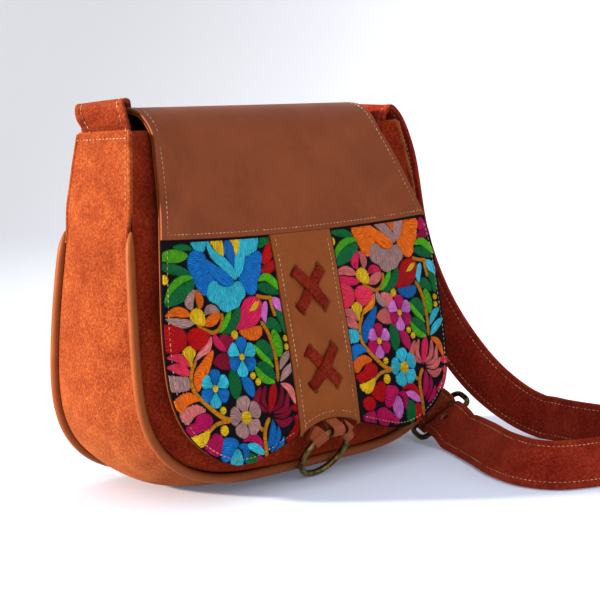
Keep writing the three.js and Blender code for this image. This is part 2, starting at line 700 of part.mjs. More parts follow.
// Rows of the straps: the middle of the strap and the direction of its width.
// The short one rises inside the left gusset, folds over and runs down behind the bag.
const SHORT_ROUTE = [
  { at: [-118, 14.5, 172], wide: [-0.1, 0.99, 0] },
  { at: [-114.2, 17, 196], wide: [-0.18, 0.98, 0] },
  { at: [-109.2, 20, 215], wide: [-0.24, 0.97, 0] },
  { at: [-109.8, 22.6, 222], wide: [-0.33, 0.94, -0.04] },
  { at: [-110, 26.5, 228.7], wide: [-0.42, 0.9, -0.08] },
  { at: [-106, 31, 231.8], wide: [-0.52, 0.85, -0.12] },
  { at: [-99.5, 37, 232], wide: [-0.64, 0.77, -0.14] },
  { at: [-92.5, 43.5, 229.8], wide: [-0.78, 0.62, -0.14] },
  { at: [-87, 50, 224.6], wide: [-0.9, 0.4, -0.12] },
  { at: [-84, 55, 216], wide: [-0.95, 0.18, -0.14] },
  { at: [-82, 57.3, 204], wide: [-0.95, 0, -0.3] },
  { at: [-70, 58, 180], wide: [-0.78, 0, -0.62] },
  { at: [-40, 58.5, 146], wide: [-0.66, 0, -0.75] },
  { at: [20, 59.5, 102], wide: [-0.6, 0, -0.8] },
  { at: [78, 59, 64], wide: [-0.5, 0, -0.87] },
  { at: [117, 55, 42], wide: [-0.3, -0.1, -0.95] },
  { at: [139, 41, 31], wide: [-0.12, -0.1, -0.98] },
  { at: [147, 18, 26], wide: [-0.3, -0.05, -0.95] },
];
// The long one rises inside the right gusset, falls to the floor, and loops back on its edge.
const LONG_ROUTE = [
  { at: [120, 13.5, 172], wide: [0, 1, 0] },
  { at: [116.5, 15, 196], wide: [0, 1, 0] },
  { at: [113.4, 16, 214], wide: [0, 1, 0] },
  { at: [115.4, 16.5, 222.5], wide: [0, 1, 0] },
  { at: [121.5, 16.5, 226.3], wide: [0.02, 1, 0] },
  { at: [127.8, 14.5, 220], wide: [0, 1, -0.02] },
  { at: [135, 9, 196], wide: [-0.05, 0.98, -0.1] },
  { at: [142, 0.7, 134], wide: [-0.2, 0.95, -0.2] },
  { at: [155.4, -12.8, 85.3], wide: [-0.3, 0.85, -0.43] },
  { at: [172, -38, 43], wide: [-0.3, 0.65, -0.7] },
  { at: [184, -62, 22], wide: [-0.12, 0.4, -0.9] },
  { at: [187, -86, 15], wide: [0.05, 0.1, -1] },
  { at: [186, -112, 15], wide: [0.1, 0, -1] },
  { at: [190, -140, 15], wide: [0, 0, -1] },
  { at: [210, -160, 15], wide: [0, 0, -1] },
  { at: [245, -164, 15], wide: [0, 0, -1] },
  { at: [274, -180, 15], wide: [0, 0, -1] },
  { at: [270, -207, 15], wide: [0, 0, -1] },
  { at: [235, -214, 15], wide: [0, -0.1, -1] },
  { at: [190, -204, 15], wide: [0, -0.3, -0.95] },
  { at: [150, -190, 12], wide: [-0.1, -0.45, -0.88] },
  { at: [109, -177, 12], wide: [-0.2, -0.53, -0.82] },
  { at: [85.8, -166, 12], wide: [-0.44, -0.33, -0.84] },
  { at: [79.4, -149.5, 12], wide: [-0.54, -0.03, -0.84] },
  { at: [85, -126.3, 12], wide: [-0.485, 0.245, -0.84] },
  { at: [100.6, -98.7, 12], wide: [-0.49, 0.3, -0.82] },
  { at: [121.5, -62, 11.5], wide: [-0.61, 0.35, -0.707] },
];
const buckleRow = (t, n, sign) => ({
  at: onBuckle(t, n).toArray(),
  wide: BUCKLE_FRAME.wide.clone().multiplyScalar(sign).toArray(),
});

// The short strap turns round the heel bar and is sewn back to itself, with a slot for the prong.
function strapShort() {
  const sewn = (STRAP.thick + GAP) / 2;
  const end = [
    buckleRow(-HALF_BAR - 22, sewn, -1),
    buckleRow(-HALF_BAR - 12, sewn + 0.3, -1),
    buckleRow(-HALF_BAR, SEAT, -1),
    buckleRow(-HALF_BAR + 0.72 * SEAT, 0.72 * SEAT, -1),
    buckleRow(-HALF_BAR + SEAT, 0, -1),
    buckleRow(-HALF_BAR + 0.72 * SEAT, -0.72 * SEAT, -1),
    buckleRow(-HALF_BAR, -SEAT, -1),
    buckleRow(-HALF_BAR - 12, -sewn - 0.3, -1),
    buckleRow(-HALF_BAR - 18, -sewn, -1),
  ];
  const slot = new THREE.BoxGeometry(2 * BUCKLE.prong + 1.4, 2.6 * SEAT, 3.4 * SEAT);
  const { along, wide, face } = BUCKLE_FRAME;
  const turn = new THREE.Matrix4().makeBasis(wide, along, face.clone());
  if (turn.determinant() < 0) turn.makeBasis(wide.clone().negate(), along, face.clone());
  slot.applyMatrix4(turn.setPosition(onBuckle(-HALF_BAR, 0)));
  return cut(ribbon(ribbonFrames([...SHORT_ROUTE, ...end], 3), STRAP.width, STRAP.thick), [slot]);
}

// The long strap passes the front bar, dives under the heel bar and ends in a short tip.
function strapLong() {
  const under = -SEAT - STRAP.thick - GAP;
  const end = [
    buckleRow(HALF_BAR + 12, SEAT + 0.3, -1),
    buckleRow(HALF_BAR, SEAT, -1),
    buckleRow(0.2 * HALF_BAR, 0.1 * SEAT, -1),
    buckleRow(-0.5 * HALF_BAR, 0.8 * under, -1),
    buckleRow(-HALF_BAR, under, -1),
    buckleRow(-HALF_BAR - 14, under, -1),
  ];
  const frames = ribbonFrames([...LONG_ROUTE, ...end], 3);
  const hole = new THREE.CylinderGeometry(STRAP.hole / 2, STRAP.hole / 2, 3 * STRAP.thick, 12);
  const { along, wide, face } = BUCKLE_FRAME;
  const turn = new THREE.Matrix4().makeBasis(wide, face.clone(), along.clone().negate());
  if (turn.determinant() < 0) turn.makeBasis(wide, face.clone(), along);
  hole.applyMatrix4(turn.setPosition(onBuckle(HALF_BAR + 3, SEAT)));
  return cut(ribbon(frames, STRAP.width, STRAP.thick), [prong(BUCKLE.prong + 0.5), hole]);
}
add("strap_long", strapLong(), SUEDE_LOOK);
add("strap_short", strapShort(), SUEDE_LOOK);
add("buckle_frame", buckle(), DARK_BRASS_LOOK);
add("buckle_prong", prong(BUCKLE.prong), DARK_BRASS_LOOK);

export default bag;
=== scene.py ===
"""A suede crossbody bag: soft body, laced leather flap with embroidered panels, ring, strap and buckle."""

import json
import math

import bpy
import numpy as np
from mathutils import Matrix, Vector
from mathutils.bvhtree import BVHTree

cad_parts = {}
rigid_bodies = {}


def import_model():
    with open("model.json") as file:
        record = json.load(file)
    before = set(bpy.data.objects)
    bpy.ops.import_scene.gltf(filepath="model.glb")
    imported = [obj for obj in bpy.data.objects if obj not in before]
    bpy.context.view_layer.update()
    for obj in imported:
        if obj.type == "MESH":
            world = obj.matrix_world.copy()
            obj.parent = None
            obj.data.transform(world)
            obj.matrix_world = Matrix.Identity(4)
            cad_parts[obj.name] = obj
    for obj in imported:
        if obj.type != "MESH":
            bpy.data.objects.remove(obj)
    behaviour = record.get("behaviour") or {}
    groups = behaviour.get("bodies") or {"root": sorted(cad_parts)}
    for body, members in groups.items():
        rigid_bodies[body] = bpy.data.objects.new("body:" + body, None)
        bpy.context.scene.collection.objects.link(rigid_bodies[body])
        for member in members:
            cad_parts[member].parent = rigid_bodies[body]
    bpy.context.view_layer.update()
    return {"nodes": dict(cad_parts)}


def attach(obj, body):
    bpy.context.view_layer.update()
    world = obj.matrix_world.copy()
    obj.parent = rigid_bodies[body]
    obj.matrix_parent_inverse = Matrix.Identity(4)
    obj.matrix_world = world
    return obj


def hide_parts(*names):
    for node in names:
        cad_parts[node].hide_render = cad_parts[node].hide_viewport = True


bl_info = {
    "name": "Suede Crossbody Bag",
    "version": (1, 0, 0),
    "blender": (4, 5, 0),
    "location": "View3D > Sidebar > Bag",
    "description": "Builds the surfaces, stitching and embroidery of a suede crossbody bag",
    "category": "Add Mesh",
}

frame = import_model()
MM = 0.001

# Sizes shared with the bag's solids, in millimetres.
GAP = 0.3
STRAP_WIDTH = 31
STRAP_THICK = 3

# The bag leans back about its rear bottom edge: the angle, that edge's depth and its lift off the floor.
LEAN = math.radians(4.2)
REAR_EDGE = 41.35
LIFT = 3.7

# The flap: half its width at the seam and at the crest, the seam's height, how far up the flap narrows,
# and how far its stitches lie from its edge.
FLAP_HALF = 117
CREST_HALF = 98
FLAP_SEAM = 153
NARROWING = 67
FLAP_INSET = 4.5
# Lines over the flap turn about this middle, in metres, and start from the crest's height.
FLAP_MIDDLE = Vector((0, 0.012, 0.18))
CREST = 225

# The middle strip: half its width, its lower and upper edge, the rise of its arched lower edge, its
# thickness, how far its face lies before the backing, and its stitches' distance from the middle.
STRIP_HALF = 26.5
STRIP_LOW = 33.1
STRIP_HIGH = 152.4
STRIP_ARCH = 6.4
STRIP_THICK = 1.9
STRIP_FACE = 2.25
STRIP_STITCHES = 22.6

# The lacing: the slits' distance from the middle, half a slit's width and length, the upper and lower
# slits' heights of both crosses, and half a band's width and thickness.
SLIT_SIDE = 11.6
SLIT_HALF_WIDE = 1.7
SLIT_HALF_LONG = 4.9
CROSSES = ((129.7, 106.7), (81.7, 59.7))
BAND_HALF_WIDE = 3.9
BAND_HALF_THICK = 0.85

# The piping's ends lie this far from the middle and are folded flat over this reach.
PIPING_END_HALF = 124.5
PIPING_FOLD = 11

# The walls' upper hem in the bag's own upright frame: its stitches' and its rolled edge's height.
HEM_STITCHES = 206
HEM_TOP = 209.6
# Seam lines are laid on the bag from this far off.
BESIDE = 200

# The ring: the radius of its wire's middle, its wire's radius, its place and its tilt in degrees.
RING_RADIUS = 18
RING_WIRE = 2
RING_AT = Vector((0, -52.8, 17.6))
RING_TILT = 122

# The photo's camera: its turn, height and roll in degrees, its lens, and in millimetres the point that
# it looks at and its distance from it.
CAMERA_TURN = 45.8006
CAMERA_HEIGHT = 8.4059
CAMERA_ROLL = 0.2465
CAMERA_LENS = 100.457
CAMERA_AIM = Vector((31.976, 0, 103.846))
CAMERA_DISTANCE = 1086.625

# The paper backdrop in metres: its width, its floor's depth, how far that starts before the bag, the
# radius of its bend and its whole run.
PAPER_WIDTH = 7
PAPER_FLOOR = 3.2
PAPER_FRONT = 1.9
PAPER_BEND = 0.9
PAPER_RUN = 5.2


def linear(colour):
    """A six-digit sRGB hex colour as linear red, green, blue and alpha."""
    parts = [int(colour[i : i + 2], 16) / 255 for i in (0, 2, 4)]
    return [c / 12.92 if c <= 0.04045 else ((c + 0.055) / 1.055) ** 2.4 for c in parts] + [1.0]


def add_node(tree, kind, settings=None, inputs=None, stops=()):
    """Adds a node, sets its options, fills or links its inputs, and sets a ramp's stops."""
    made = tree.nodes.new(kind)
    for name, value in (settings or {}).items():
        setattr(made, name, value)
    for name, value in (inputs or {}).items():
        if isinstance(value, bpy.types.NodeSocket):
            tree.links.new(value, made.inputs[name])
        else:
            made.inputs[name].default_value = value
    for index, (place, colour) in enumerate(stops):
        band = made.color_ramp.elements
        if index == len(band):
            band.new(place)
        band[index].position = place
        band[index].color = colour
    return made


def new_material(name):
    """An empty material and its tree of nodes."""
    material = bpy.data.materials.new(name)
    material.use_nodes = True
    material.node_tree.nodes.clear()
    return material, material.node_tree


def add_surface(tree, inputs):
    """Adds the shader that makes the surface, with its inputs, and the output."""
    shader = add_node(tree, "ShaderNodeBsdfPrincipled", None, inputs)
    add_node(tree, "ShaderNodeOutputMaterial", None, {"Surface": shader.outputs["BSDF"]})


def shade_of(colour, by):
    """A linear colour with its red, green and blue each multiplied."""
    return [part * share for part, share in zip(colour, by)] + [1.0]


def suede(name, colour, nap=1.0, sheen=0.12, tint="F08C4C"):
    """Suede: split hide with a raised, brushed nap. Matt and soft, with fine dark and light specks
    where the fibres lie over, and broad patches brushed one way or the other."""
    shades = [shade_of(colour, by) for by in ((0.45, 0.32, 0.32), (1, 1, 1), (1.75, 3.0, 3.2))]
    material, tree = new_material(name)
    place = add_node(tree, "ShaderNodeTexCoord").outputs["Object"]
    # Fibre tufts are about 0.3 mm. They are drawn at about 1 mm, because finer ones don't show.
    tuft = add_node(tree, "ShaderNodeTexNoise", None,
                    {"Vector": place, "Scale": 620 / nap, "Detail": 4, "Roughness": 0.75})
    fibre = add_node(tree, "ShaderNodeTexNoise", None,
                     {"Vector": place, "Scale": 2600 / nap, "Detail": 3, "Roughness": 0.6})
    # Patches about 2 cm wide are brushed one way.
    brushed = add_node(tree, "ShaderNodeTexNoise", None,
                       {"Vector": place, "Scale": 46, "Detail": 4, "Roughness": 0.55, "Distortion": 0.6})
    grain = add_node(tree, "ShaderNodeMix", {"data_type": "FLOAT"},
                     {0: 0.38, 2: tuft.outputs["Fac"], 3: fibre.outputs["Fac"]})
    shade = add_node(tree, "ShaderNodeMix", {"data_type": "FLOAT"},
                     {0: 0.24, 2: grain.outputs[0], 3: brushed.outputs["Fac"]})
    # Edges are rubbed paler, where the nap is worn down.
    edge = add_node(tree, "ShaderNodeNewGeometry").outputs["Pointiness"]
    worn = add_node(tree, "ShaderNodeMapRange", None, {"Value": edge, 1: 0.53, 2: 0.62, 3: 0.0, 4: 0.1})
    paler = add_node(tree, "ShaderNodeMath", {"operation": "ADD"}, {0: shade.outputs[0], 1: worn.outputs[0]})
    tone = add_node(tree, "ShaderNodeValToRGB", None, {"Fac": paler.outputs[0]},
                    zip((0.37, 0.5, 0.65), shades))
    bump = add_node(tree, "ShaderNodeBump", None,
                    {"Strength": 1.0, "Distance": 0.0011, "Height": grain.outputs[0]})
    add_surface(tree, {
        "Base Color": tone.outputs["Color"], "Normal": bump.outputs["Normal"], "Roughness": 0.95,
        "Specular IOR Level": 0.06, "Sheen Weight": sheen, "Sheen Roughness": 0.45,
        "Sheen Tint": linear(tint)})
    return material


def smooth_leather(name, colour, rough, crease=0.0):
    """Full-grain cowhide with a waxed finish: satin sheen, fine pores and cloudy colour."""
    shades = [shade_of(colour, by) for by in ((0.84, 0.8, 0.78), (1, 1, 1), (1.12, 1.18, 1.26))]
    material, tree = new_material(name)
    place = add_node(tree, "ShaderNodeTexCoord").outputs["Object"]
    # Clouds of dye are 3 to 4 cm wide.
    cloud = add_node(tree, "ShaderNodeTexNoise", None,
                     {"Vector": place, "Scale": 28, "Detail": 5, "Roughness": 0.6, "Distortion": 0.4})
    # Pores sit about 0.9 mm apart.
    pores = add_node(tree, "ShaderNodeTexVoronoi", {"feature": "DISTANCE_TO_EDGE"},
                     {"Vector": place, "Scale": 1000})
    fine = add_node(tree, "ShaderNodeTexNoise", None, {"Vector": place, "Scale": 420, "Detail": 4})
    shade = add_node(tree, "ShaderNodeMix", {"data_type": "FLOAT"},
                     {0: 0.25, 2: cloud.outputs["Fac"], 3: fine.outputs["Fac"]})
    tone = add_node(tree, "ShaderNodeValToRGB", None, {"Fac": shade.outputs[0]},
                    zip((0.33, 0.5, 0.68), shades))
    gloss = add_node(tree, "ShaderNodeMapRange", None,
                     {"Value": fine.outputs["Fac"], 3: rough - 0.07, 4: rough + 0.1})
    grain = add_node(tree, "ShaderNodeBump", None,
                     {"Strength": 0.16, "Distance": 0.0002, "Height": pores.outputs["Distance"]})
    bump = add_node(tree, "ShaderNodeBump", None,
                    {"Strength": 0.1 + crease, "Distance": 0.0008, "Height": cloud.outputs["Fac"],
                     "Normal": grain.outputs["Normal"]})
    add_surface(tree, {
        "Base Color": tone.outputs["Color"], "Normal": bump.outputs["Normal"],
        "Roughness": gloss.outputs[0], "Specular IOR Level": 0.16})
    return material


def satin_thread(name):
    """Stranded cotton laid in satin stitch: each stitch is a glossy ridge beside the next one.
    Colour comes from the piece's own attribute, whose rim is painted dark as cloth and as painted shade, and
    the direction from its UV map, in millimetres."""
    material, tree = new_material(name)
    cloth = add_node(tree, "ShaderNodeUVMap", {"uv_map": "threads"}).outputs["UV"]
    dye = add_node(tree, "ShaderNodeAttribute", {"attribute_name": "dye"}).outputs["Color"]
    parts = add_node(tree, "ShaderNodeSeparateXYZ", None, {"Vector": cloth})
    wander = add_node(tree, "ShaderNodeTexNoise", {"noise_dimensions": "2D"},
                      {"Vector": cloth, "Scale": 0.35, "Detail": 2})
    # Strands lie about 0.5 mm apart. They are drawn at 0.9 mm, because finer ones don't show.
    across = add_node(tree, "ShaderNodeMath", {"operation": "MULTIPLY_ADD"},
                      {0: wander.outputs["Fac"], 1: 1.3, 2: parts.outputs["X"]})
    turns = add_node(tree, "ShaderNodeMath", {"operation": "MULTIPLY"}, {0: across.outputs[0], 1: 7.2})
    ridge = add_node(tree, "ShaderNodeMath", {"operation": "SINE"}, {0: turns.outputs[0]})
    stretched = add_node(tree, "ShaderNodeVectorMath", {"operation": "MULTIPLY"}, {0: cloth, 1: (1, 0.12, 1)})
    strand = add_node(tree, "ShaderNodeTexNoise", {"noise_dimensions": "2D"},
                      {"Vector": stretched.outputs[0], "Scale": 1.5, "Detail": 2})
    # Painted highlight and shade: each strand is painted lighter on its crest and darker in the groove beside
    # the next one.
    lit = add_node(tree, "ShaderNodeMapRange", None,
                   {"Value": ridge.outputs[0], 1: -1.0, 2: 1.0, 3: 0.56, 4: 1.14})
    uneven = add_node(tree, "ShaderNodeMapRange", None,
                      {"Value": strand.outputs["Fac"], 1: 0.3, 2: 0.7, 3: 0.66, 4: 1.26})
    both = add_node(tree, "ShaderNodeMath", {"operation": "MULTIPLY"},
                    {0: lit.outputs[0], 1: uneven.outputs[0]})
    tone = add_node(tree, "ShaderNodeVectorMath", {"operation": "SCALE"}, {0: dye, "Scale": both.outputs[0]})
    bump = add_node(tree, "ShaderNodeBump", None,
                    {"Strength": 0.6, "Distance": 0.0004, "Height": ridge.outputs[0]})
    add_surface(tree, {
        "Base Color": tone.outputs[0], "Normal": bump.outputs["Normal"], "Roughness": 0.55,
        "Specular IOR Level": 0.14})
    return material


def ground_cloth(name, dark, light):
    """Black cotton cloth in plain weave, the ground of the embroidery: matt, with crossing threads."""
    material, tree = new_material(name)
    place = add_node(tree, "ShaderNodeTexCoord").outputs["Object"]
    # Threads are 0.4 mm apart. They are drawn at 0.9 mm, so that the weave shows.
    weave = [
        add_node(tree, "ShaderNodeTexWave", {"wave_type": "BANDS", "bands_direction": way},
                 {"Vector": place, "Scale": 350, "Distortion": 0.4}).outputs["Fac"]
        for way in ("X", "Z")
    ]
    height = add_node(tree, "ShaderNodeMath", {"operation": "MAXIMUM"}, {0: weave[0], 1: weave[1]})
    tone = add_node(tree, "ShaderNodeValToRGB", None, {"Fac": height.outputs[0]},
                    ((0.2, linear(dark)), (1.0, linear(light))))
    bump = add_node(tree, "ShaderNodeBump", None,
                    {"Strength": 0.6, "Distance": 0.0003, "Height": height.outputs[0]})
    add_surface(tree, {
        "Base Color": tone.outputs["Color"], "Normal": bump.outputs["Normal"], "Roughness": 0.9,
        "Specular IOR Level": 0.15})
    return material


def waxed_thread(name, colour):
    """Waxed polyester sewing thread: pale, twisted, a little soiled where it lies in the leather."""
    shades = shade_of(colour, (0.32, 0.24, 0.2)), [*colour, 1.0]
    material, tree = new_material(name)
    place = add_node(tree, "ShaderNodeTexCoord").outputs["Object"]
    soil = add_node(tree, "ShaderNodeTexNoise", None, {"Vector": place, "Scale": 160, "Detail": 3})
    tone = add_node(tree, "ShaderNodeValToRGB", None, {"Fac": soil.outputs["Fac"]},
                    zip((0.35, 0.62), shades))
    # The thread's twist turns once in about 0.3 mm.
    twist = add_node(tree, "ShaderNodeTexNoise", None, {"Vector": place, "Scale": 3200})
    bump = add_node(tree, "ShaderNodeBump", None,
                    {"Strength": 0.4, "Distance": 0.0002, "Height": twist.outputs["Fac"]})
    add_surface(tree, {
        "Base Color": tone.outputs["Color"], "Normal": bump.outputs["Normal"], "Roughness": 0.6})
    return material


def aged_brass(name, dark, light, rough):
    """Cast brass with an antique finish: brown patina in the lows, rubbed bright on the highs."""
    material, tree = new_material(name)
    place = add_node(tree, "ShaderNodeTexCoord").outputs["Object"]
    patina = add_node(tree, "ShaderNodeTexNoise", None,
                      {"Vector": place, "Scale": 210, "Detail": 6, "Roughness": 0.65})
    tone = add_node(tree, "ShaderNodeValToRGB", None, {"Fac": patina.outputs["Fac"]},
                    ((0.38, linear(dark)), (0.62, linear(light))))
    gloss = add_node(tree, "ShaderNodeMapRange", None,
                     {"Value": patina.outputs["Fac"], 3: rough + 0.16, 4: rough - 0.06})
    # Casting pits are about 0.7 mm apart.
    pits = add_node(tree, "ShaderNodeTexNoise", None, {"Vector": place, "Scale": 1500, "Detail": 2})
    bump = add_node(tree, "ShaderNodeBump", None,
                    {"Strength": 0.25, "Distance": 0.0002, "Height": pits.outputs["Fac"]})
    add_surface(tree, {
        "Base Color": tone.outputs["Color"], "Normal": bump.outputs["Normal"],
        "Roughness": gloss.outputs[0], "Metallic": 1.0})
    return material


def pale_paper(name, away, right):
    """Matt studio paper, pale, with a painted bluish glow towards the front and the right, and painted shade
    that greys it far back and to the left."""
    material, tree = new_material(name)
    spot = add_node(tree, "ShaderNodeTexCoord").outputs["Object"]
    far = add_node(tree, "ShaderNodeVectorMath", {"operation": "DOT_PRODUCT"},
                   {0: spot, 1: away * 0.45 - right * 0.9}).outputs["Value"]
    # Painted shade: the paper is greyed far back and to the left.
    painted_falloff = add_node(tree, "ShaderNodeMapRange", {"interpolation_type": "SMOOTHSTEP"},
                    {"Value": far, 1: 0.15, 2: 1.25, 3: 1.0, 4: 0.62})
    tone = add_node(tree, "ShaderNodeVectorMath", {"operation": "SCALE"},
                    {0: linear("DFE3EA")[:3], "Scale": painted_falloff.outputs[0]})
    # Painted light: the paper glows bluish towards the front and the right, though no lamp is there.
    painted_glow = add_node(tree, "ShaderNodeMapRange", None, {"Value": far, 1: 0.1, 2: 0.8, 3: 0.13, 4: 0.0})
    add_surface(tree, {
        "Base Color": tone.outputs[0], "Emission Color": linear("CEE2FF"),
        "Emission Strength": painted_glow.outputs[0], "Roughness": 0.9, "Specular IOR Level": 0.15})
    return material


def activate(piece):
    """Selects one object alone and makes it the active one."""
    bpy.ops.object.select_all(action="DESELECT")
    piece.select_set(True)
    bpy.context.view_layer.objects.active = piece


def edit(piece, *steps):
    """Runs edit-mode steps on the whole of one piece."""
    activate(piece)
    bpy.ops.object.mode_set(mode="EDIT")
    bpy.ops.mesh.select_all(action="SELECT")
    for step in steps:
        step()
    bpy.ops.object.mode_set(mode="OBJECT")


def apply_modifiers(piece):
    """Applies the piece's modifiers from the top."""
    activate(piece)
    for modifier in list(piece.modifiers):
        bpy.ops.object.modifier_apply(modifier=modifier.name)


def places_of(piece):
    """The places of a mesh's vertices as rows."""
    flat = np.zeros(len(piece.data.vertices) * 3)
    piece.data.vertices.foreach_get("co", flat)
    return flat.reshape(-1, 3)


def set_places(piece, places):
    """Moves a mesh's vertices to new places."""
    piece.data.vertices.foreach_set("co", np.asarray(places, np.float32).ravel())
    piece.data.update()


def smooth(piece, degrees=50):
    """Shades a piece smooth except at its sharp edges."""
    activate(piece)
    bpy.ops.object.shade_smooth_by_angle(angle=math.radians(degrees))


def finish_piece(piece, material, slot, *nodes):
    """Gives a piece its material and lets it ride on the bag's one body; the slot is not used."""
    piece.data.materials.clear()
    piece.data.materials.append(material)
    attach(piece, "root")
    if nodes:
        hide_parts(*nodes)
    return piece


def soft_copy(name, node, rim=0.4, levels=2, swell=0.0):
    """A smooth, fine version of one of the bag's solids: merged, its rims rounded, then subdivided."""
    piece = bpy.data.objects.new(name, frame["nodes"][node].data.copy())
    bpy.context.collection.objects.link(piece)

    def round_rims():
        bpy.ops.mesh.select_mode(type="EDGE")
        bpy.ops.mesh.select_all(action="DESELECT")
        bpy.ops.mesh.edges_select_sharp(sharpness=math.radians(52))
        bpy.ops.mesh.bevel(offset=rim * MM, segments=2, profile=0.5)

    steps = [
        lambda: bpy.ops.mesh.remove_doubles(threshold=1e-6),
        lambda: bpy.ops.mesh.tris_convert_to_quads(
            face_threshold=math.radians(50), shape_threshold=math.radians(60)),
    ]
    if rim:
        steps.append(round_rims)
    edit(piece, *steps)
    piece.modifiers.new("soften", "SUBSURF").levels = levels
    apply_modifiers(piece)
    if swell:
        edit(piece, lambda: bpy.ops.transform.shrink_fatten(value=swell * MM))
    smooth(piece)
    return piece


def pinch_ends(piece):
    """Folds both upright ends of the piping flat against the seam."""
    places = places_of(piece)
    reach = PIPING_FOLD * MM
    for side in (-1, 1):
        own = np.sign(places[:, 0]) == side
        top = places[own, 2].max()
        near = own & (places[:, 2] > top - reach)
        share = ((places[near, 2] - top) / reach + 1) ** 2
        middle = places[near].mean(axis=0)
        places[near, 0] += (side * PIPING_END_HALF * MM - places[near, 0]) * 0.55 * share
        places[near, 1] += (middle[1] - places[near, 1]) * 0.5 * share
    set_places(piece, places)


def tree_of(piece):
    """A search tree of a piece's faces, for finding places on it."""
    faces = [tuple(p.vertices) for p in piece.data.polygons]
    return BVHTree.FromPolygons([tuple(p) for p in places_of(piece)], faces)


def find_on(tree, start, way, out=0.0):
    """Where a line from a point first meets a surface, moved out by some millimetres. A line that
    misses takes the surface's nearest place to a point far along it."""
    place, normal, _, _ = tree.ray_cast(Vector(start), Vector(way))
    if place is None:
        place, normal, _, _ = tree.find_nearest(Vector(start) + Vector(way) * 0.93)
    if normal.dot(Vector(way)) > 0:
        normal = -normal
    return place + normal * out * MM, normal


def laid(tree, line, way, out=0.1):
    """A line of places in millimetres, laid on a surface from one side."""
    return [find_on(tree, Vector(place) * MM, way, out)[0] for place in line]


def front_place(tree, x, z, out=0.0):
    """A place on the front of the bag, given across and up in millimetres."""
    return find_on(tree, (x * MM, -1.0, z * MM), (0, 1, 0), out)


def grid_piece(name, columns, rows, place):
    """A grid whose corners are moved to place(u, v), with u and v from 0 to 1."""
    bpy.ops.object.select_all(action="DESELECT")
    bpy.ops.mesh.primitive_grid_add(x_subdivisions=columns, y_subdivisions=rows, size=1)
    piece = bpy.context.object
    piece.name = name
    piece.data.uv_layers.remove(piece.data.uv_layers[0])
    set_places(piece, [place(x + 0.5, y + 0.5) for x, y, _ in places_of(piece)])
    return piece


def net(name, spots):
    """A grid whose corners are moved to rows of places."""
    rows, columns = len(spots), len(spots[0])
    return grid_piece(
        name, columns - 1, rows - 1, lambda u, v: spots[round(v * (rows - 1))][round(u * (columns - 1))])


def smooth_path(rows, per_span):
    """A centripetal spline through rows of numbers, with some samples in each span."""
    known = np.array(rows, float)
    known = np.vstack([2 * known[0] - known[1], known, 2 * known[-1] - known[-2]])
    found = []
    for i in range(1, len(known) - 2):
        four = known[i - 1 : i + 3]
        gaps = [max(np.linalg.norm(four[k + 1] - four[k]), 1e-8) ** 0.5 for k in range(3)]
        if gaps[1] < 1e-3:
            gaps = [1, 1, 1]
        t = np.cumsum([0, *gaps])
        for share in np.arange(per_span) / per_span:
            s = t[1] + (t[2] - t[1]) * share
            level = [
                (four[k] * (t[k + 1] - s) + four[k + 1] * (s - t[k])) / (t[k + 1] - t[k]) for k in range(3)
            ]
            pair = [
                (level[k] * (t[k + 2] - s) + level[k + 1] * (s - t[k])) / (t[k + 2] - t[k]) for k in range(2)
            ]
            found.append((pair[0] * (t[2] - s) + pair[1] * (s - t[1])) / (t[2] - t[1]))
    found.append(known[-2])
    return np.array(found)


def strap_frames(rows, per_span, width=STRAP_WIDTH, thick=STRAP_THICK):
    """Middle, width direction and face direction along a strap, resting on the floor where it is low."""
    path = smooth_path([r[0] for r in rows], per_span)
    widths = smooth_path([r[1] for r in rows], per_span)
    along = np.gradient(path, axis=0)
    along /= np.linalg.norm(along, axis=1)[:, None]
    widths -= along * np.sum(widths * along, axis=1)[:, None]
    widths /= np.linalg.norm(widths, axis=1)[:, None]
    faces = np.cross(along, widths)
    low = np.abs(widths[:, 2]) * width / 2 + np.abs(faces[:, 2]) * thick / 2
    path[:, 2] = np.maximum(path[:, 2], low)
    return path, widths, faces


def swept(name, frames, section, scales=None):
    """A closed band along frames, with a section of points across its width and thickness."""
    path, widths, faces = frames
    scales = np.ones(len(path)) if scales is None else scales
    loop = [*section, section[0]]
    piece = net(name, [
        [(path[row] + (widths[row] * across + faces[row] * out) * scales[row]) * MM for across, out in loop]
        for row in range(len(path))
    ])
    edit(
        piece,
        lambda: bpy.ops.mesh.remove_doubles(threshold=1e-6),
        lambda: bpy.ops.mesh.fill_holes(sides=0),
        lambda: bpy.ops.mesh.select_all(action="SELECT"),
        lambda: bpy.ops.mesh.normals_make_consistent(inside=False),
    )
    return piece


def strap_section(width, thick, stitch):
    """Half rounded edges of two layers, a seam line between them, and a channel for each stitch row."""
    w, t = width / 2, thick / 2
    edge = [(w - 0.9, t), (w - 0.3, t - 0.25), (w, t - 0.75), (w - 0.05, 0.2), (w - 0.55, 0)]
    top = [(w - stitch - 1.1, t), (w - stitch, t - 0.3), (w - stitch + 1.1, t)]
    right_top = [(0, t + 0.1), *top, *edge]
    right = right_top + [(a, -b) for a, b in reversed(right_top[:-1])]
    left = [(-a, b) for a, b in reversed(right[1:-1])]
    return right + left


